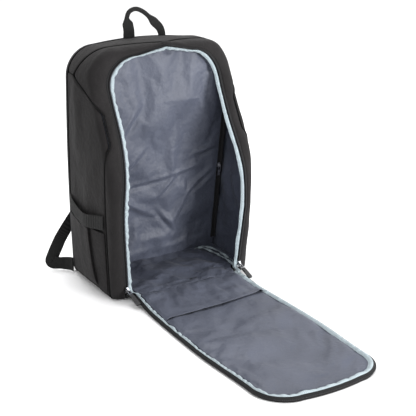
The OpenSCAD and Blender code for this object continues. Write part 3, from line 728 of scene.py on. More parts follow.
# ---------------------------------------------------------------- the bag's outline
@dataclass(frozen=True)
class BagShape:
    """Surfaces of the body in millimetres; u runs round the rim from 0 to 8."""

    height: float = 455.0
    half: float = 152.0
    back: float = 94.0
    front: float = -94.0
    corner: float = 58.0
    crown: float = 6.0
    rise: float = 7.0
    back_seam: float = 80.0
    back_round: float = 8.0
    bow: float = 3.5
    foot: float = 12.0
    swell: float = 5.0
    sill: float = 14.0
    mouth_foot: float = 121.5
    mouth_belly: float = 131.0
    mouth_top: float = 116.0
    mouth_corner: float = 60.0
    arch_z: float = 388.0
    peak: float = 13.0
    belly: float = 10.5
    belly_z: float = 145.0
    setback: float = 87.0
    roll_depth: float = 20.0
    zip_width: float = 5.6
    knee_z: float = 300.3
    corner_z: float = 407.225
    corner_y: float = 49.82
    seam_room: float = 0.9
    yoke_curve: float = 34.0

    @property
    def corner_u(self) -> float:
        """Where the slanting seam reaches the back."""
        return 2 + math.asin((self.corner_z - self.height + self.corner) / self.corner) / (math.pi / 2)

    def rim(self, u: float) -> tuple[float, float, float, float]:
        """Outline point and outward direction, as x, z, nx, nz."""
        if u > 4:
            x, z, nx, nz = self.rim(8 - u)
            return -x, z, -nx, nz
        if u <= 1:
            a = math.pi / 2 * u
            return (
                -self.half + self.foot * (1 - math.sin(a)),
                self.foot * (1 - math.cos(a)),
                -math.sin(a),
                -math.cos(a),
            )
        if u <= 2:
            z = mix(self.foot, self.height - self.corner, u - 1)
            return -self.half - self.bow * math.sin(math.pi * (u - 1)), z, -1.0, 0.0
        if u <= 3:
            a = math.pi / 2 * (u - 2)
            return (
                -self.half + self.corner * (1 - math.cos(a)),
                self.height - self.corner * (1 - math.sin(a)),
                -math.cos(a),
                math.sin(a),
            )
        x = (-self.half + self.corner) * (4 - u)
        return x, self.height + self.crown * (1 - (x / (self.half - self.corner)) ** 2), 0.0, 1.0

    def mouth_width(self, z: float) -> float:
        """Half width of the opening at a height."""
        if z < self.belly_z:
            return mix(self.mouth_foot, self.mouth_belly, (z - self.sill) / (self.belly_z - self.sill))
        return mix(self.mouth_belly, self.mouth_top, ease((z - self.belly_z - 20) / 165))

    def edge_y(self, z: float) -> float:
        """Depth of the front edge at a height."""
        y = self.front - self.belly * min(1.0, (z - self.sill) / (self.belly_z - self.sill))
        return y + self.setback * ease((z - 0.46 * self.height) / (0.52 * self.height))

    def mouth(self, u: float) -> tuple[float, float]:
        """Point of the opening's outline that belongs to rim(u), as x, z."""
        if u > 4:
            x, z = self.mouth(8 - u)
            return -x, z
        if u <= 1:
            return -self.mouth_foot, self.sill
        if u <= 2:
            z = mix(self.sill, self.arch_z, u - 1)
            return -self.mouth_width(z), z
        if u <= 3:
            a = math.pi / 2 * (u - 2)
            return (
                -self.mouth_top + self.mouth_corner * (1 - math.cos(a)),
                self.arch_z + self.mouth_corner * math.sin(a),
            )
        x = (-self.mouth_top + self.mouth_corner) * (4 - u)
        rise = self.peak * (1 - abs(x) / (self.mouth_top - self.mouth_corner))
        return x, self.arch_z + self.mouth_corner + rise

    def mouth_y(self, u: float) -> float:
        """Depth of the opening's edge."""
        x, z = self.mouth(u)
        return self.edge_y(z) - (14 * (1 - (x / self.mouth_top) ** 2) if 2 < u < 6 else 0)

    def skin(self, u: float, y: float) -> Point:
        """Outer cloth behind the roll."""
        x, z, nx, nz = self.rim(u)
        y0 = self.mouth_y(u) + self.roll_depth
        t = clamp((y - y0) / (self.back_seam - y0))
        h = clamp(z / self.height)
        out = self.swell * math.sin(math.pi * t) * math.sqrt(abs(math.sin(math.pi * h))) * abs(nx)
        if nz > 0:
            out += self.rise * (1 - clamp((y + 10) / (self.back_seam + 10)) ** 2) * nz * nz
        return x + nx * out, y, z + nz * out

    def outwards(self, u: float) -> tuple[float, float]:
        """Direction from the opening's edge to the side, as x, z."""
        x, z = self.mouth(u)
        s = self.skin(u, self.mouth_y(u) + self.roll_depth)
        dx, dz = s[0] - x, s[2] - z
        length = math.hypot(dx, dz)
        return dx / length, dz / length

    def mouth_off(self, u: float, d: float, dy: float) -> Point:
        """A point d outside the opening's edge and dy behind it."""
        (x, z), (ox, oz) = self.mouth(u), self.outwards(u)
        return x + ox * d, self.mouth_y(u) + dy, z + oz * d

    def roll(self, u: float, a: float) -> Point:
        """Point on the roll, a in radians from 0 at the side to pi/2 at the zip."""
        y0 = self.mouth_y(u)
        s, e = self.skin(u, y0 + self.roll_depth), self.mouth_off(u, self.zip_width + 1, 0)
        k = 1 - math.cos(a)
        return mix(s[0], e[0], k), y0 + self.roll_depth * (1 - math.sin(a)), mix(s[2], e[2], k)

    def seam(self, u: float) -> float:
        """Depth of the front seam."""
        if u > 4:
            return self.seam(8 - u)
        if u <= self.corner_u:
            z = self.rim(u)[1]
            k = clamp((z - self.knee_z) / (self.corner_z - self.knee_z)) ** 2.2
            y = mix(self.front + 18, self.corner_y, k)
        else:
            y = mix(self.corner_y, -24, ((u - self.corner_u) / (4 - self.corner_u)) ** 0.8)
        return max(self.mouth_y(u) + 0.2 * self.roll_depth, y)

    def seam_gap(self, u: float) -> float:
        """Clearance to the seam along y, wider where the seam slants."""
        p, q = self.rim(u + 0.01), self.rim(u - 0.01)
        ds = math.hypot(p[0] - q[0], p[1] - q[1])
        slope = math.hypot(self.seam(u + 0.01) - self.seam(u - 0.01), ds) / ds
        return self.seam_room * min(3.0, slope)

    def cloth(self, u: float, y: float) -> Point:
        """Outer surface at a depth, roll included."""
        y0 = self.mouth_y(u) + self.roll_depth
        if y >= y0:
            return self.skin(u, y)
        return self.roll(u, math.asin(min(1.0, (y0 - y) / self.roll_depth)))

    def yoke(self, u: float, v: float) -> Point:
        """Front cloth from the seam at v 0 to the zip at v 1."""
        y1, y0 = self.seam(u) - self.seam_gap(u), self.mouth_y(u) + self.roll_depth
        flat = max(0.0, y1 - y0)
        a0 = math.asin(min(1.0, (y0 - y1) / self.roll_depth)) if y1 < y0 else 0.0
        curved = self.yoke_curve * (math.pi / 2 - a0) / (math.pi / 2)
        s = v * (flat + curved)
        if s < flat:
            return self.skin(u, y1 - s)
        return self.roll(u, a0 + (math.pi / 2 - a0) * (s - flat) / curved)

    def divider_y(self, z: float) -> float:
        """Depth of the padded rear wall."""
        return 37 - 0.14 * (min(z, 0.77 * self.height) - self.sill)

    def stations(self, first: float, last: float, step: float) -> list[float]:
        """Values of u spaced about step millimetres apart round the rim.

        Args:
            first: where they start.
            last: where they end.
            step: spacing in millimetres.

        Returns:
            The values, both ends included.
        """
        fine = np.linspace(first, last, 1200)
        places = np.array([self.rim(u)[:2] for u in fine])
        run = np.concatenate([[0], np.cumsum(np.linalg.norm(np.diff(places, axis=0), axis=1))])
        count = max(2, int(run[-1] / step) + 1)
        return list(np.interp(np.linspace(0, run[-1], count), run, fine))


SHAPE = BagShape()


def tucked(grid: np.ndarray, edges: str, depth: float, reach: float, side: float = 1.0) -> np.ndarray:
    """Draw the cloth in along its sewn edges.

    Args:
        grid: the surface.
        edges: any of a and b for the first and last column, c and d for the first and last row.
        depth: how far the sewn edge sinks.
        reach: how far from the edge it starts to sink.
        side: 1 where the grid normal points outwards.

    Returns:
        The surface with sunken edges.
    """
    distances = dict(zip("abcd", edge_distance(grid)))

    def sink(_: np.ndarray, i: int, j: int) -> float:
        """Depth of the tuck at a point."""
        return -depth * sum(math.exp(-((distances[e][i, j] / reach) ** 2)) for e in edges)

    return shifted(grid, sink, side)


# ---------------------------------------------------------------- body cloth
@dataclass
class BodyCloth:
    """The outer panels, their seams and the padded back."""

    shape: BagShape = SHAPE
    thick: float = 2.2
    piping: float = 1.3
    crease: float = 1.7
    sunk_most: float = 0.9

    def panel_point(self, u: float, v: float) -> Point:
        """Point of a panel, v 0 at the front seam and 1 at the back seam."""
        s = self.shape
        return s.cloth(u, mix(s.seam(u) + s.seam_gap(u), s.back_seam - s.seam_room, v))

    def crumpled(self, grid: np.ndarray, amount: float, side: float, seed: float) -> np.ndarray:
        """Soft creases over a panel, less near its edges.

        Args:
            grid: the surface.
            amount: height of the creases.
            side: 1 where the grid normal points outwards.
            seed: which pattern.

        Returns:
            The creased surface.
        """
        a, b, c, d = edge_distance(grid)

        def rise(p: np.ndarray, i: int, j: int) -> float:
            """Height of the creases at a point."""
            near = min(a[i, j], b[i, j], c[i, j], d[i, j])
            long = wave(p, (60, 46, 95), seed)
            short = wave(p, (22, 15, 34), seed + 4)
            return max(-self.sunk_most, amount * ease(near / 12) * (1.5 * long + 0.55 * short))

        return shifted(grid, rise, side)

    def build_yoke(self) -> bpy.types.Object:
        """Front cloth that rolls round to the zip."""
        us = self.shape.stations(0.0, 8.0, 5.0)
        grid = lattice(us, spread(0, 1, 15), self.shape.yoke)
        grid = tucked(self.crumpled(grid, self.crease, -1, 1.0), "ab", 0.9, 2.8, -1)
        cloth = cloth_piece("front_yoke_cloth", grid, self.thick, flip=True)
        return settle(cloth, Finish.OUTER, "bag", ["front_yoke"])

    def side_grid(self, seed: float) -> np.ndarray:
        """Left side panel behind the front seam."""
        us = self.shape.stations(0.0, self.shape.corner_u, 6.0)
        grid = lattice(us, spread(0, 1, 26), self.panel_point)
        return tucked(self.crumpled(grid, 1.2 * self.crease, 1, seed), "ab", 0.9, 2.8)

    def build_sides(self) -> None:
        """Both side panels."""
        for side, grid in (("left", self.side_grid(2.0)), ("right", mirror_x(self.side_grid(3.0)))):
            cloth = cloth_piece(f"side_cloth_{side}", grid, self.thick)
            settle(cloth, Finish.OUTER, "bag", [f"side_panel_{side}"])

    def build_top(self) -> bpy.types.Object:
        """Top panel between the slanting seams."""
        first = self.shape.corner_u
        us = self.shape.stations(first, 8 - first, 5.0)
        grid = lattice(us, spread(0, 1, 14), self.panel_point)
        grid = tucked(self.crumpled(grid, 0.9 * self.crease, 1, 5.0), "abcd", 1.6, 2.6)
        return settle(cloth_piece("top_cloth", grid, self.thick), Finish.OUTER, "bag", ["top_panel"])

    def build_seams(self) -> None:
        """Piping along the front seam and the back edge."""
        shape = self.shape
        us = shape.stations(0.1, 7.9, 4.0)
        front = np.array([shape.cloth(u, shape.seam(u)) for u in us])
        back = np.array([shape.skin(u, shape.back_seam) for u in us])
        middle = np.array([0.0, 0.0, 0.45 * shape.height])
        for side, path in (("front", front), ("back", back)):
            inwards = (middle - path) * [1, 0, 1]
            path = path + 0.7 * inwards / np.linalg.norm(inwards, axis=1, keepdims=True)
            rings = cord_rings(path, lambda i: self.piping)
            settle(skinned(f"{side}_seam_piping", rings), Finish.PIPING, "bag", [f"{side}_piping"])

    def back_point(self, u: float, t: float) -> Point:
        """Back panel at rim height u and share t of the half width."""
        s = self.shape
        rx, rz = s.rim(u)[:2]
        w = -rx
        x = w * t
        edge = u in (0, 3) or abs(t) == 1
        ax, cx, cz = abs(x), s.half - s.corner, s.height - s.corner
        if rz > cz and ax > cx:
            gap = s.corner - math.hypot(ax - cx, rz - cz)
        elif rz < s.foot and ax > s.half - s.foot:
            gap = s.foot - math.hypot(ax - s.half + s.foot, rz - s.foot)
        else:
            gap = min(w - ax, s.height - rz, rz)
        d = clamp(gap, 0, s.back_round)
        y = s.back - s.back_round + math.sqrt(max(0.0, s.back_round**2 - (s.back_round - d) ** 2))
        k = clamp((rz - cz) / s.corner)
        z = rz + s.crown * k * k * max(0.0, 1 - (x / cx) ** 2)
        if edge:
            return x, s.back_seam + s.seam_room, z
        pads = ease((ax - 10) / 14) * ease((w - 20 - ax) / 16) * ease((rz - 34) / 16) * ease((392 - rz) / 18)
        channel = 1 - 0.5 * (bump(rz, 150, 7) + bump(rz, 270, 7))
        return x, y + 4.2 * pads * channel, z

    def build_back(self) -> bpy.types.Object:
        """Air mesh back with two padded columns."""
        foot = [0, 0.08, 0.3, 0.55, 0.8, 1.0]
        us = foot + spread(1.02, 2.0, 60) + spread(2.07, 2.95, 16) + [2.98, 3]
        ts = [-1, -0.998, -0.99, -0.975, -0.955] + spread(-0.93, 0.93, 58) + [0.955, 0.975, 0.99, 0.998, 1]
        grid = lattice(us, ts, self.back_point)
        obj = cloth_piece("back_cloth_panel", grid, self.thick)
        settle(obj, Finish.BACK, "bag", ["back_panel", "back_padding"])
        return obj

    def build_base(self) -> bpy.types.Object:
        """Coated base that turns up to the sill."""
        s = self.shape
        r = s.sill - 2.5
        y1 = s.back_seam - 1.0
        lift = 0.3
        turn = spread(0, math.pi / 2, 8)
        profile = [(s.front + 1 + r * (1 - math.cos(a)), r * (1 - math.sin(a)) + lift) for a in turn]
        profile += [(y, lift) for y in spread(profile[-1][0] + 6, y1, 20)]

        def at(i: float, t: float) -> Point:
            """Point of the base."""
            y, z = profile[int(i)]
            w = mix(s.mouth_foot + 3, s.half - s.foot + 1.0, ease((y - s.front) / 14))
            return w * t, y, z

        grid = lattice(range(len(profile)), spread(-1, 1, 40), at)
        obj = cloth_piece("base_cloth_panel", grid, self.thick)
        return settle(obj, Finish.BASE, "bag", ["base_panel"])

    def build(self) -> None:
        """Make all of the outer cloth."""
        self.build_yoke()
        self.build_sides()
        self.build_top()
        self.build_seams()
        self.build_back()
        self.build_base()


# ---------------------------------------------------------------- opening edge
SILL_BEND = ("bag", "flap_lower", (0, -0.093, 0.015), (0, -0.112, 0.015))


@dataclass
class OpeningEdge:
    """Zip tape, coil and puckered binding round the opening."""

    shape: BagShape = SHAPE
    binding: float = 6.6
    coil: float = 1.4

    def build_zip(self) -> None:
        """Fixed half of the zip: tape and coil."""
        s = self.shape
        us = s.stations(1.0, 7.0, 4.0)

        def at(u: float, d: float) -> Point:
            """Point of the tape, d outside the opening's edge."""
            return s.mouth_off(u, d, 0.4 + 0.9 * max(0.0, d - 6.0))

        tape = lattice(us, [9.4, 7.6, 6.2, 4.4, 2.4, 0.4], at)
        obj = cloth_piece("opening_zip_tape", tape, 0.9, offset=1.0)
        settle(obj, Finish.TAPE, "bag", ["opening_zip"])
        fine = s.stations(1.005, 6.995, 1.1)
        path = np.array([s.mouth_off(u, 1.9, -0.9) for u in fine])
        rings = cord_rings(path, lambda i: self.coil * (1.0 if i % 2 else 0.78), 6)
        settle(skinned("opening_zip_coil", rings), Finish.COIL, "bag")

    def binding_point(self, u: float, t: float) -> Point:
        """Puckered tape, t from the zip side at 0 to the free edge at 1."""
        s = self.shape
        base = s.mouth_off(u, 0, 0)
        pucker = wave(base, (9, 9, 8), 11.0)
        slow = wave(base, (34, 34, 30), 12.0)
        d = -1.2 - (self.binding + 1.8 * slow + 1.9 * pucker) * t
        lift = 1.5 * math.sin(math.pi * min(1.0, 1.15 * t)) * (1 + 1.2 * pucker) + 2.4 * pucker * t
        return s.mouth_off(u, d, 1.0 - lift + 1.4 * t)

    def build_binding(self) -> bpy.types.Object:
        """Pale tape round the opening."""
        us = self.shape.stations(1.0, 7.0, 2.4)
        grid = lattice(us, spread(0, 1, 9), self.binding_point)
        obj = cloth_piece("opening_binding_tape", grid, 0.9)
        return settle(obj, Finish.BINDING, "bag", ["opening_binding"])

    def build_corners(self) -> None:
        """Binding and zip tape that run on round both hinge corners."""
        binding = (
            (118.5, -94.0, 34), (118.0, -96.5, 21), (115.5, -102, 17.4), (112.6, -112, 18.2),
            (111.6, -120, 18),
        )
        tape = (
            (123.8, -94.4, 24), (121.2, -97, 14), (116.2, -104, 9.0), (114.6, -113, 11.5),
            (114.6, -121, 12.5),
        )
        kinds = (("binding", Finish.BINDING, binding, 3.2), ("tape", Finish.TAPE, tape, 2.4))
        count = 40
        for sign in (-1.0, 1.0):
            for name, finish, places, half in kinds:
                path = spline(places, count) * np.array([sign, 1, 1])
                sway = [0.8 * wave(p, (7, 7, 7), 13.0 + sign) for p in path]
                heave = [0.9 * wave(p, (8, 8, 8), 14.0 + sign) for p in path]
                path += np.array([sway, [0] * count, heave]).T
                wide = np.array([[1, 0.0, 0.25 * sign]] * count)
                rings = strap_rings(path, wide, [half] * count, [0.6] * count, 10)
                cloth = skinned(f"hinge_corner_{name}_{side_name(sign)}", rings, crease=60)
                settle(cloth, finish, SILL_BEND)

    def build(self) -> None:
        """Make the whole edge."""
        self.build_zip()
        self.build_binding()
        self.build_corners()


# ---------------------------------------------------------------- lining
@dataclass(frozen=True)
class Dent:
    """A short crease in the rear wall: a hollow with a ridge beside it."""

    x: float
    z: float
    length: float
    width: float
    angle: float
    depth: float

    def at(self, x: float, z: float) -> float:
        """Height of the crease at a point of the wall."""
        c, s = math.cos(math.radians(self.angle)), math.sin(math.radians(self.angle))
        along = ((x - self.x) * c + (z - self.z) * s) / self.length
        across = ((z - self.z) * c - (x - self.x) * s) / self.width
        return self.depth * across * math.exp(0.5 - across**2 - along**2)


REAR_DENTS = (
    Dent(26, 173, 20, 6, 45, 4.5),
    Dent(67, 166, 14, 6, 85, 3.5),
    Dent(101, 171, 26, 7, 40, 5.5),
    Dent(110, 236, 20, 7, 15, 5.0),
    Dent(-65, 313, 26, 9, 55, 4.5),
    Dent(-56, 230, 24, 7, 45, 4.5),
    Dent(25, 96, 22, 7, -50, 4.5),
    Dent(-15, 187, 70, 6, 8, 2.4),
    Dent(60, 118, 34, 9, 62, 4.0),
    Dent(-40, 128, 36, 9, -30, 3.0),
)


@dataclass
class Lining:
    """Side walls, floor and padded rear wall inside."""

    shape: BagShape = SHAPE
    gap: float = 4.6
    inset: float = 4.6

    def wall_point(self, u: float, v: float) -> Point:
        """Side lining before it is set in, v 0 at the zip and 2 at the rear wall."""
        s = self.shape
        y0 = s.mouth_y(u) + s.roll_depth
        y1 = max(y0 + 3, s.divider_y(s.rim(u)[1]) + 9)
        if v <= 1:
            x, y, z = s.roll(u, math.pi / 2 * (1 - v) * 0.97)
            return x, y + 3 * (1 - v), z
        return s.skin(u, mix(y0, y1, v - 1))

    def build_walls(self) -> bpy.types.Object:
        """Side and top lining with slack folds."""
        us = self.shape.stations(1.0, 7.0, 6.0)
        vs = spread(0, 1, 7) + spread(1.08, 2, 14)
        grid = lattice(us, vs, self.wall_point)
        _, rear, _, _ = edge_distance(grid)

        def inward(p: np.ndarray, i: int, j: int) -> float:
            """How far in from the outer cloth the lining hangs."""
            slack = ease(j / 6) * ease(rear[i, j] / 20)
            fold = max(0.0, wave(p, (60, 26, 120), 21.0)) * 9 + max(0.0, wave(p, (50, 40, 34), 22.0)) * 5
            return -(self.gap + slack * fold)

        grid = Slack(0.03, (8.0, 1.5), seed=23.0).settle(shifted(grid, inward, 1))
        obj = cloth_piece("lining_wall_cloth", grid, 0.8, flip=True)
        return settle(obj, Finish.LINING, "bag", ["lining_shell"])

    def rear_point(self, u: float, t: float) -> Point:
        """Rear wall at rim height u and share t of the half width."""
        s = self.shape
        x, z, nx, nz = s.rim(u)
        qx, qz = x - nx * self.inset, z - nz * self.inset
        if u <= 2:
            qz = mix(s.sill - 1.5, s.height - s.corner, u - 1)
        px = -qx * t
        left = ease((86 - px) / 60)
        pleats = 2.4 * bump(qz, 62 - 0.03 * px, 9) + 2.0 * bump(qz, 36 + 0.04 * px, 8)
        pleats += 1.5 * bump(qz, 96 + 0.1 * px, 11)
        slack = 3.0 * wave((px, 0, qz), (62, 1, 48), 31.0) + 1.6 * wave((px, 0, qz), (24, 1, 40), 32.0)
        hold = ease((1 - abs(t)) * 5) * ease((qz - 15) / 14)
        dents = sum(dent.at(px, qz) for dent in REAR_DENTS)
        return px, s.divider_y(qz) - hold * (pleats * (0.25 + 0.75 * left) + slack + dents + 0.8), qz

    def build_rear(self) -> bpy.types.Object:
        """Padded rear wall of the compartment."""
        us = spread(1, 2, 100) + spread(2.05, 3, 20)
        flat = lattice(us, spread(-1, 1, 75), self.rear_point)
        loose = np.clip((142 - np.abs(flat[:, :, :1])) / 24, 0, 1) ** 1.5
        slack = Slack(0.018, (9.0, 9.0), bending=0.3, frames=14, seed=33.0)
        grid = flat + (slack.settle(flat) - flat) * loose
        obj = cloth_piece("rear_wall_cloth", grid, 5.0, flip=True)
        settle(obj, Finish.LINING, "bag", ["divider_face", "divider_padding"])
        return obj

    def floor_point(self, y: float, t: float) -> Point:
        """Floor from the rear wall out over the sill to the flap."""
        w = mix(109.0, 148.5, ease((y + 96) / 52)) if y > -96 else mix(104.5, 109.0, ease((y + 113) / 17))
        x = w * t
        at_sides, at_rear = ease((1 - abs(t)) * 6), ease((30 - y) / 18)
        z = 15.2 + 2.2 * wave((x, y, 0), (46, 30, 1), 41.0) * at_sides * at_rear + 0.7
        if y < -88:
            z = mix(z, 15.6, ease((-88 - y) / 12))
        return x, y, z

    def hinge_point(self, y: float, t: float) -> Point:
        """Outer cloth under the floor where the flap hangs on the sill."""
        return mix(117.0, 110.0, ease((-90 - y) / 22)) * t, y, mix(13.2, 11.4, ease((-92 - y) / 26))

    def build_floor(self) -> bpy.types.Object:
        """Floor cloth that runs on into the flap."""
        ys = spread(42, -113, 46)
        flat = lattice(ys, spread(-1, 1, 61), self.floor_point)
        grid = Slack(0.02, (5.0, 6.0), seed=43.0).settle(flat)
        obj = cloth_piece("floor_cloth", grid, 0.9)
        depths = [-90.5, -93, -96, -100, -104, -108, -112, -117, -122]
        under = lattice(depths, spread(-1, 1, 25), self.hinge_point)
        settle(cloth_piece("hinge_cloth", under, 1.0), Finish.OUTER, SILL_BEND)
        return settle(obj, Finish.LINING, SILL_BEND, ["lining_floor", "flap_hinge"])

    def build_edging(self) -> None:
        """Loose binding, doubled, along the floor's right seam."""
        inner = ((96, 27, 19), (109, 21, 20), (118, -4, 19), (121, -42, 19), (121, -70, 19), (115, -98, 18.5))
        outer = (
            (114, 31, 19), (123, 16, 21), (129, -10, 20), (129, -44, 20), (126, -74, 20), (117, -98, 18.5),
        )
        count = 70
        strips = []
        for places, seed in ((inner, 91.0), (outer, 95.0)):
            path = spline(places, count)
            path += [[1.6 * wave(p, (9, 9, 9), seed), 0, 1.8 * wave(p, (12, 17, 9), seed + 2)] for p in path]
            lean = np.array([(1, 0.2, 0.9 * wave(p, (9, 14, 9), seed + 3)) for p in path])
            rings = strap_rings(path, lean, [2.7] * count, [0.5] * count, 8)
            strips.append(skinned("strip", rings, smooth=1))
        settle(joined("floor_seam_binding", strips), Finish.BINDING, "bag")

    def build(self) -> None:
        """Make the whole lining."""
        self.build_walls()
        self.build_rear()
        self.build_floor()
        self.build_edging()


# ---------------------------------------------------------------- flap
@dataclass
class Flap:
    """Front flap laid open: outer cloth, zip, binding, lining and slip pocket."""

    hinge_y: float = -97.0
    length: float = 463.0
    base: float = 116.5
    wide: float = 125.0
    end: float = 118.0
    corner: float = 60.0
    raised: float = 8.0
    sink: float = 90.0
    bend: float = 225.0
    pocket: float = 103.0

    @property
    def across(self) -> tuple:
        """Bodies and points of the flap's fold line, which settle does not use; the flap is only baked in
        place.
        """
        y = (self.hinge_y - self.bend) * MM
        return ("flap_lower", "flap_upper", (0, y + 0.012, 0.005), (0, y - 0.012, 0.005))

    def half_width(self, d: float) -> float:
        """Half width of the flap at a distance from the hinge."""
        widest = 0.55 * self.length
        if d < widest:
            return mix(self.base, self.wide, math.sin(math.pi / 2 * d / widest))
        return mix(self.wide, self.end, ease((d - widest) / (self.length - self.corner - widest)))

    def outline(self, e: float, inset: float) -> tuple[float, float]:
        """Half width and distance at e, 0 at the hinge, 1 at the corner and 2 at the far end."""
        straight = self.length - self.corner
        if e <= 1:
            return self.half_width(e * straight) - inset, e * straight
        a, r = math.pi / 2 * (e - 1), self.corner - inset
        return self.end - self.corner + r * math.cos(a), straight + r * math.sin(a)

    def crown(self, x: float, d: float) -> float:
        """How far the far end bows out."""
        k = ease((d - self.length + self.corner) / (self.corner - 14))
        return 5 * k * max(0.0, 1 - (x / (self.end - self.corner)) ** 2)

    def up(self, d: float) -> float:
        """Height of the flap above its resting place near the hinge."""
        return self.raised * (1 - ease(d / self.sink))

    def sheet_point(self, e: float, t: float, inset: float) -> tuple[float, float, float]:
        """Point of a sheet on the flap, as x, y and distance from the hinge."""
        w, d = self.outline(e, inset)
        x = w * t
        return x, self.hinge_y - d - self.crown(x, d), d

    def stations(self, first: float, step: float) -> list[float]:
        """Values of e about step millimetres apart, to the far end."""
        straight = self.length - self.corner
        return list(np.arange(first * straight, straight, step) / straight) + spread(1, 2, 22)

    def round_edge(self, first: float, step: float) -> list[tuple[float, float]]:
        """Stations (e, side) all the way round, from the left hinge corner to the right."""
        half = self.stations(first, step)
        left = [(e, -1.0) for e in half]
        along_end = [(2.0 + k, -1.0) for k in np.linspace(0.08, 0.92, 22)]
        right = [(e, 1.0) for e in reversed(half)]
        return left + along_end + right

    def rim_point(self, station: tuple[float, float], inset: float, z: float) -> Point:
        """Point at an inset and height from the flap's edge."""
        e, side = station
        if e > 2:
            w = (self.end - self.corner) * (1 - 2 * (e - 2))
            x, d = -w, self.length - inset
            return x, self.hinge_y - d - self.crown(x, d), z
        w, d = self.outline(e, inset)
        x = side * w
        return x, self.hinge_y - d - self.crown(x, d), z + self.up(d)

    def build_outer(self) -> bpy.types.Object:
        """Black outer cloth underneath, with its rim turned up."""

        def at(e: float, t: float) -> Point:
            """Point of the cloth."""
            x, y, d = self.sheet_point(e, t, 0.8)
            rim = max(ease((abs(t) - 0.955) / 0.045), ease((e - 1.9) / 0.1) if e > 1.9 else 0.0)
            return x, y, 0.4 + 2.6 * rim + self.up(d)

        ts = [-1, -0.985, -0.965, -0.94] + spread(-0.9, 0.9, 33) + [0.94, 0.965, 0.985, 1]
        grid = lattice(self.stations(0.035, 6.0), ts, at)
        obj = cloth_piece("flap_outer_cloth", grid, 2.2, flip=True, offset=1.0)
        return settle(obj, Finish.OUTER, self.across, ["flap_outer_lower", "flap_outer_upper"])

    def build_zip(self) -> None:
        """Moving half of the zip round the rim."""
        ring = self.round_edge(0.035, 5.0)
        profile = ((0.2, 2.4), (0.0, 4.0), (1.6, 6.6), (4.6, 7.9))
        tape = np.array([[self.rim_point(station, inset, z) for inset, z in profile] for station in ring])
        obj = cloth_piece("flap_zip_tape", tape, 1.0)
        settle(obj, Finish.TAPE, self.across, ["flap_zip_lower", "flap_zip_upper"])
        path = np.array([self.rim_point(s, -0.4, 4.2) for s in self.round_edge(0.037, 1.6)])
        rings = cord_rings(path, lambda i: 1.4 if i % 2 else 1.1, 6)
        settle(skinned("flap_zip_coil", rings), Finish.COIL, self.across)

    def build_binding(self) -> bpy.types.Object:
        """Pale puckered tape inside the zip, leaning inwards."""

        def at(station: tuple[float, float], t: float) -> Point:
            """Point of the tape, t 0 at the zip and 1 at the lining."""
            base = self.rim_point(station, 6, 8)
            pucker = wave(base, (8, 8, 8), 51.0)
            slow = wave(base, (40, 40, 40), 52.0)
            wide = 12.6 if station[0] > 1.4 or station[1] > 0 else 10.2
            inset = mix(3.4, wide + 1.8 * slow + 1.9 * pucker, t)
            arch = 2.0 * math.sin(math.pi * min(1.0, 1.1 * t)) * (1 + 1.2 * pucker)
            return self.rim_point(station, inset, mix(8.6, 7.2, t) + arch + 1.8 * pucker * t)

        ring = self.round_edge(0.03, 2.4)
        grid = np.array([[at(s, t) for t in np.linspace(0, 1, 9)] for s in ring])
        obj = cloth_piece("flap_binding_tape", grid, 0.9)
        return settle(obj, Finish.BINDING, self.across, ["flap_binding_lower", "flap_binding_upper"])

    def build_lining(self) -> bpy.types.Object:
        """Padded lining with shallow folds across and towards the far corner."""

        def at(e: float, t: float) -> Point:
            """Point of the lining."""
            x, y, d = self.sheet_point(e, t, 10.5)
            hold = ease((1 - abs(t)) * 9) * ease((2 - e) * 5)
            folds = 2.4 * wave((x, d, 0), (85, 60, 1), 61.0)
            folds += 1.5 * wave((x + d * 0.6, d - x * 0.4, 0), (28, 60, 1), 62.0)
            return x, y, 7.0 + self.up(d) + hold * (1.6 + folds)

        grid = lattice(self.stations(0.03, 5.0), spread(-1, 1, 51), at)
        grid = Slack(0.016, (1.6, 5.5), seed=63.0).settle(grid)
        obj = cloth_piece("flap_lining_cloth", grid, 3.0)
        nodes = ["flap_lining_lower", "flap_lining_upper", "flap_padding_lower", "flap_padding_upper"]
        settle(obj, Finish.LINING, self.across, nodes)
        return obj

    def build_pocket(self) -> bpy.types.Object:
        """Loose slip pocket sewn on three sides of the lining."""
        top = (14 + self.pocket) / (self.length - self.corner)

        def at(e: float, t: float) -> Point:
            """Point of the pocket."""
            x, y, d = self.sheet_point(e, t, 11.5)
            y += 7 * t * ease(e / top * 2 - 1)
            hem = ease((e / top - 0.9) * 10)
            hold = ease((1 - abs(t)) * 10) * ease(e / top * 5 - 0.6)
            folds = 3.2 * wave((x, d, 0), (52, 26, 1), 71.0) + 1.8 * wave((x, d, 0), (15, 40, 1), 72.0)
            return x, y, 8.2 + self.up(d) + hold * (3.6 + folds * (1 - 0.7 * hem) + 0.6 * hem)

        grid = lattice(spread(0.045, top, 26), spread(-1, 1, 61), at)
        grid = Slack(0.035, (0.8, 8.0), free_end=True, seed=73.0).settle(grid)
        obj = cloth_piece("flap_slip_pocket", grid, 1.0)
        return settle(obj, Finish.LINING, "flap_lower", ["slip_pocket"])

    def build(self) -> None:
        """Make the whole flap."""
        self.build_outer()
        self.build_zip()
        self.build_binding()
        self.build_lining()
        self.build_pocket()


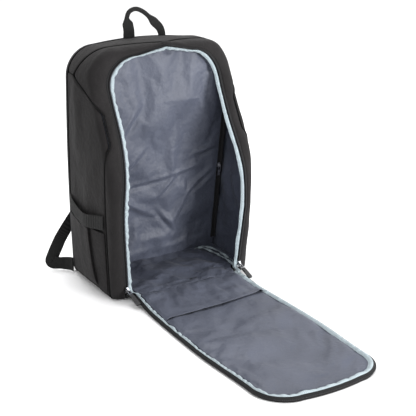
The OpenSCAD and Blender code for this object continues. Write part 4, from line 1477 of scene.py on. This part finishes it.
# ---------------------------------------------------------------- side pockets
@dataclass
class SidePocket:
    """Pleated pocket with an elastic top band on one side."""

    sign: float
    shape: BagShape = SHAPE
    height: float = 134.0
    band: float = 25.0
    swell: float = 7.0
    pleat: float = 0.3
    lap: float = 5.2
    lap_height: float = 5.6

    def surface(self, y: float, z: float, out: float) -> Point:
        """Point that stands out from the side panel."""
        s = self.shape
        u = max(1.0, 1 + (z - s.foot) / (s.height - s.corner - s.foot))
        x, yy, zz = s.cloth(u, y)
        return x - out, yy, z if z < s.foot else zz

    def depth(self, v: float) -> float:
        """Depth of a share v of the pocket's width."""
        return mix(self.shape.front + 22, self.shape.back_seam - 4, v)

    def standing(self, v: float, h: float) -> float:
        """How far the pocket stands out."""
        return 1.6 + self.swell * max(0.0, math.sin(math.pi * v)) ** 0.6 * (0.55 + 0.45 * h)

    def pocket_point(self, h: float, v: float) -> Point:
        """Cloth with a soft pleat whose rear edge lies over the front."""
        line = self.pleat - 0.11 * (1 - h) ** 2.6
        w = (v - line) / 0.045
        y, out = self.depth(v), self.standing(v, h)
        shut = ease((h - 0.02) * 8)
        if -1 < w < 1:
            y -= shut * self.lap * math.sin(math.pi * w)
            out += shut * mix(0.0, self.lap_height, ease((w + 0.4) / 0.9))
        elif w >= 1:
            out += shut * self.lap_height * math.exp(-(w - 1) / 6)
        p = self.surface(y, mix(self.shape.foot + 1, self.height, h), out)
        crease = 1.3 * wave(p, (30, 26, 46), 81.0 + self.sign) * ease(min(v, 1 - v) * 8)
        return p[0] - crease, p[1], p[2]

    def band_point(self, h: float, v: float) -> Point:
        """Elastic band, drawn up towards the back."""
        rise = 10 * abs(2 * v - 0.95) ** 1.35 + 8 * max(0.0, v - 0.6) ** 2
        z = mix(self.height - 1.0 + 0.8 * rise * (1 - h), self.height + self.band + rise, h)
        gather = 0.5 * math.sin(v * 150) * ease(min(v, 1 - v) * 10)
        out = self.standing(v, 1) + 1.6 + gather - 1.2 * h
        out += 4.4 * bump(v, 0.34, 0.16)
        return self.surface(self.depth(v), z, out)

    def build(self) -> None:
        """Make the pocket and its band."""
        side = side_name(self.sign)
        vs = sorted(set(spread(0, 1, 45) + spread(self.pleat - 0.17, self.pleat + 0.05, 40)))
        cloth = lattice(spread(0, 1, 34), vs, self.pocket_point)
        band = lattice(spread(0, 1, 7), spread(0, 1, 90), self.band_point)
        if self.sign > 0:
            cloth, band = mirror_x(cloth), mirror_x(band)
        obj = cloth_piece(f"side_pocket_cloth_{side}", cloth, 1.0)
        settle(obj, Finish.OUTER, "bag", [f"side_pocket_{side}"])
        obj = cloth_piece(f"side_pocket_band_{side}", band, 1.6)
        settle(obj, Finish.ELASTIC, "bag", [f"pocket_elastic_{side}"])


# ---------------------------------------------------------------- handle and straps
@dataclass
class GrabHandle:
    """Webbing loop, folded narrow where the hand holds it."""

    x: float = 13.0
    y: float = 75.0
    z: float = 467.15
    span: float = 71.0
    rise: float = 53.0
    width: float = 25.0
    grip: float = 12.0
    thick: float = 2.6
    lean: float = 8.0

    def path(self) -> np.ndarray:
        """Centre line of the loop."""
        shares = (
            (-0.5, -0.2), (-0.5, 0.0), (-0.5, 0.2), (-0.52, 0.45), (-0.52, 0.7), (-0.42, 0.92), (-0.22, 1),
            (-0.02, 0.88), (0.15, 0.66), (0.3, 0.42), (0.44, 0.2), (0.5, 0), (0.52, -0.2),
        )
        rise = self.rise - self.grip / 2
        places = [(self.x + a * self.span, self.y + self.lean * b * b, self.z + b * rise) for a, b in shares]
        return spline(places, 90)

    def build(self) -> None:
        """Make the loop, wide in its legs and folded narrow in its grip."""
        p = self.path()
        wide = np.cross(np.array([0, 1, -0.14]), np.gradient(p, axis=0))
        fold = [ease(((q[2] - self.z) - 0.38 * self.rise) / (0.25 * self.rise)) for q in p]
        legs = [mix(self.width, 0.62 * self.width, i / len(p)) for i in range(len(p))]
        half_w = [mix(leg, 0.72 * self.grip, k) / 2 for leg, k in zip(legs, fold)]
        half_t = [mix(self.thick, self.thick * 1.9, k) / 2 for k in fold]
        loop = skinned("grab_handle_webbing", strap_rings(p, wide, half_w, half_t, 16), crease=50)
        bend = ("bag", "handle", (0.013, 0.075, 0.460), (0.013, 0.075, 0.471))
        settle(loop, Finish.WEBBING, bend, ["grab_handle"])


@dataclass
class ShoulderStrap:
    """Padded strap, ladder lock, webbing and sewn tab on one side."""

    sign: float
    width: float = 62.0
    thick: float = 11.0
    web: float = 25.0
    web_thick: float = 1.6
    lock_z: float = 152.0
    tilt: float = math.radians(20)
    shape: BagShape = SHAPE

    @property
    def side(self) -> str:
        """Name of the side."""
        return side_name(self.sign)

    def lock(self, x: float, y: float, z: float) -> Point:
        """Place in the tilted ladder lock's own axes."""
        c, s = math.cos(self.tilt), math.sin(self.tilt)
        return -0.66 * self.shape.half + x * c + z * s, self.shape.back + 23 + y, self.lock_z - x * s + z * c

    def sided(self, p: np.ndarray) -> np.ndarray:
        """Points moved to this strap's side."""
        return p if self.sign < 0 else p * np.array([-1.0, 1.0, 1.0])

    def pad_path(self, count: int) -> np.ndarray:
        """Centre line of the padded part."""
        b, h = self.shape.back, self.shape.height
        turn = (-67, b + 25, mix(h, self.lock_z, 0.69))
        end = self.lock(0, 0, 21)
        middle = tuple(mix(turn[i], end[i], 0.55) for i in range(3))
        above = [(-50, b + 6.6, h - 19), (-50, b + 11, h - 37), (-50, b + 17, h - 65)]
        above += [(-52, b + 22.5, h - 108), (-57, b + 25, mix(h, self.lock_z, 0.52))]
        return spline(above + [turn, middle, end], count)

    def build_pad(self) -> bpy.types.Object:
        """Padded part with rolled edges."""
        n = 60
        p = self.sided(self.pad_path(n))
        share = [i / (n - 1) for i in range(n)]
        wide = np.array([[1, 0, 0.3 * k * self.sign] for k in share])
        half_w = [mix(self.width, self.web + 4, ease((k - 0.72) / 0.28)) / 2 for k in share]
        half_t = [self.thick / 2 * (0.62 + 0.38 * ease(min(k, 1 - k) * 14)) for k in share]
        pad = skinned(f"strap_pad_{self.side}_cloth", strap_rings(p, wide, half_w, half_t, 20), smooth=1)
        x = self.sign * 0.06
        bend = ("bag", f"strap_{self.side}", (x, 0.1, 0.43), (x, 0.115, 0.37))
        settle(pad, Finish.BACK, bend, [f"strap_pad_{self.side}"])
        return pad

    def build_webbing(self) -> None:
        """Adjusting webbing from the sewn tab up through the lock."""
        b, x = self.shape.back, -self.shape.half
        places = [
            (x - 9, b + 3, 15.8), (x - 20, b + 12, 15.2), (x - 31, b + 20, 15.4), (x - 34.5, b + 23.5, 19),
            (x - 31, b + 25, 27), (x - 21, b + 26.5, 45), (x - 5, b + 27.5, 71),
        ]
        through = (
            (-3, 6, -26), (0, 3.6, -17), (0, 3.4, -12), (0, 0, -7.8), (0, -3.4, -3.8), (0, -3.4, 3.8),
            (0, 0, 7.8), (0, 3.4, 12), (0, 3.6, 15.5),
        )
        places += [self.lock(*p) for p in through]
        turns = [
            (0, 0, 1), (0.1, 0, 1), (0.8, -0.35, 0.5), (0.9, -0.42, 0.1), (0.86, -0.42, -0.25),
            (0.86, -0.36, -0.35), (0.9, -0.2, -0.4), (0.94, 0, -0.34),
        ]
        turns += [turns[-1]] * (len(places) - len(turns))
        n = 110
        p, wide = self.sided(spline(places, n)), self.sided(spline(turns, n))
        rings = strap_rings(p, wide, [self.web / 2] * n, [self.web_thick / 2] * n, 10)
        cloth = skinned(f"strap_webbing_{self.side}_tape", rings, crease=50)
        settle(cloth, Finish.WEBBING, f"strap_{self.side}", [f"strap_webbing_{self.side}"])
        x -= 3.4
        n = 24
        places = [(x, b - 13, 17), (x - 2, b - 5, 16.5), (x - 8.6, b + 4.6, 15.6), (x - 15, b + 9.5, 15.3)]
        tab = self.sided(spline(places, n))
        rings = strap_rings(tab, np.array([[0, 0, 1.0]] * n), spread(15, 13, n), [1.3] * n, 10)
        cloth = skinned(f"strap_tab_{self.side}", rings, crease=50)
        settle(cloth, Finish.WEBBING, "bag", [f"strap_anchor_{self.side}"])

    def build_lock(self) -> bpy.types.Object:
        """Ladder lock: two rails and three bars."""
        rail, bar = (3.8, 4.2, 30), (self.web + 6, 3.6, 3.4)
        parts = [block("rail", (k * (self.web / 2 + 3.2), 0, 0), rail, 1.2) for k in (-1, 1)]
        parts += [block("bar", (0, y, z), bar, 1.1) for z, y in ((-13.2, 0), (0.0, -0.2), (13.4, 0))]
        obj = joined(f"ladder_lock_{self.side}_frame", parts)
        co = np.array([v.co for v in obj.data.vertices]) / MM
        co = self.sided(np.array([self.lock(*p) for p in co])) * MM
        obj.data.vertices.foreach_set("co", co.reshape(-1).astype(np.float32))
        if self.sign > 0:
            only(obj)
            bpy.ops.object.mode_set(mode="EDIT")
            bpy.ops.mesh.select_all(action="SELECT")
            bpy.ops.mesh.flip_normals()
            bpy.ops.object.mode_set(mode="OBJECT")
        obj.data.update()
        return settle(obj, Finish.PLASTIC, f"strap_{self.side}", [f"ladder_lock_{self.side}"])

    def build(self) -> None:
        """Make the whole strap."""
        self.build_pad()
        self.build_webbing()
        self.build_lock()


# ---------------------------------------------------------------- zip hardware
@dataclass
class ZipHardware:
    """Large slider, ring and pull on one side of the opening."""

    sign: float

    def build(self) -> None:
        """Give the CAD hardware its finishes."""
        for part, finish in (("slider", Finish.METAL), ("ring", Finish.METAL), ("pull", Finish.RUBBER)):
            dress_node(f"zip_{part}_{side_name(self.sign)}", finish)


@dataclass
class InnerZip:
    """Black zip beside the rear wall with its small pull."""

    shape: BagShape = SHAPE

    def build(self) -> None:
        """Sew the tape into the corner and dress the slider and its pull."""

        def at(z: float, x: float) -> Point:
            """Point of the tape, which turns up into the corner."""
            sway = 0.8 * wave((x, 0, z), (60, 1, 38), 87.0)
            return x + sway, self.shape.divider_y(z) - 2.0 - 0.16 * max(0.0, x - 142.5) ** 2, z

        tape = lattice(spread(34, 345, 90), [138.0, 140.0, 142.0, 144.0, 145.6, 146.8], at)
        settle(cloth_piece("inner_zip_tape", tape, 0.8, flip=True), Finish.TAPE, "bag", ["inner_zip"])
        for node in ("inner_zip_slider", "inner_zip_pull"):
            dress_node(node, Finish.SMALL_METAL)


# ---------------------------------------------------------------- studio
@dataclass
class Studio:
    """Pale floor, soft light and the camera."""

    eye: Point = (-0.8982, -1.6345, 0.7941)
    target: Point = (0.049486, -0.100726, 0.155614)
    roll: float = 0.352
    lens: float = 86.4
    floor_size: float = 9.0
    sky: float = 1.06
    aim: Point = (0.0, -0.1, 0.2)

    def build_floor(self) -> None:
        """Seamless paper under the bag."""
        bpy.ops.object.select_all(action="DESELECT")
        bpy.ops.mesh.primitive_plane_add(size=self.floor_size, location=(0, 0, 0))
        floor = bpy.context.active_object
        floor.name = "studio_floor"
        bpy.ops.object.transform_apply(location=True, rotation=True, scale=True)
        floor.data.materials.append(Finish.PAPER.material())

    def add_light(self, name: str, place: Point, size: float, power: float) -> None:
        """Add one large soft light.

        Args:
            name: its name.
            place: where it hangs, in metres.
            size: its side, in metres.
            power: its power in watts.
        """
        data = bpy.data.lights.new(name, "AREA")
        data.shape = "SQUARE"
        data.size = size
        data.energy = power
        light = bpy.data.objects.new(name, data)
        light.location = place
        light.rotation_euler = (Vector(self.aim) - Vector(place)).to_track_quat("-Z", "Y").to_euler()
        bpy.context.scene.collection.objects.link(light)

    def build(self) -> None:
        """Set up floor, lights, background and camera."""
        self.build_floor()
        self.add_light("key_softbox", (1.3, -2.75, 0.55), 1.1, 118)
        self.add_light("top_softbox", (0.3, 0.7, 2.6), 1.6, 60)
        self.add_light("side_softbox", (-2.4, -0.4, 1.8), 1.4, 3)
        world = bpy.data.worlds.new("studio_world")
        world.use_nodes = True
        background = world.node_tree.nodes["Background"]
        background.inputs["Color"].default_value = (1, 1, 1, 1)
        background.inputs["Strength"].default_value = self.sky
        scene = bpy.context.scene
        scene.world = world
        scene.view_settings.view_transform = "Standard"
        data = bpy.data.cameras.new("camera")
        data.lens = self.lens
        data.sensor_width = 36
        data.clip_end = 50
        camera = bpy.data.objects.new("camera", data)
        camera.location = self.eye
        look = (Vector(self.target) - Vector(self.eye)).to_track_quat("-Z", "Y")
        camera.rotation_mode = "QUATERNION"
        camera.rotation_quaternion = look @ Quaternion(Vector((0, 0, 1)), math.radians(self.roll))
        scene.collection.objects.link(camera)
        scene.camera = camera


def main() -> None:
    """Build every part of the bag in order."""
    logging.basicConfig(level=logging.INFO, format="%(name)s %(message)s")
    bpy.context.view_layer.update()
    Studio().build()
    BodyCloth().build()
    OpeningEdge().build()
    Lining().build()
    Flap().build()
    for sign in (-1.0, 1.0):
        SidePocket(sign).build()
        ShoulderStrap(sign).build()
        ZipHardware(sign).build()
    GrabHandle().build()
    InnerZip().build()


if __name__ == "__main__":
    main()
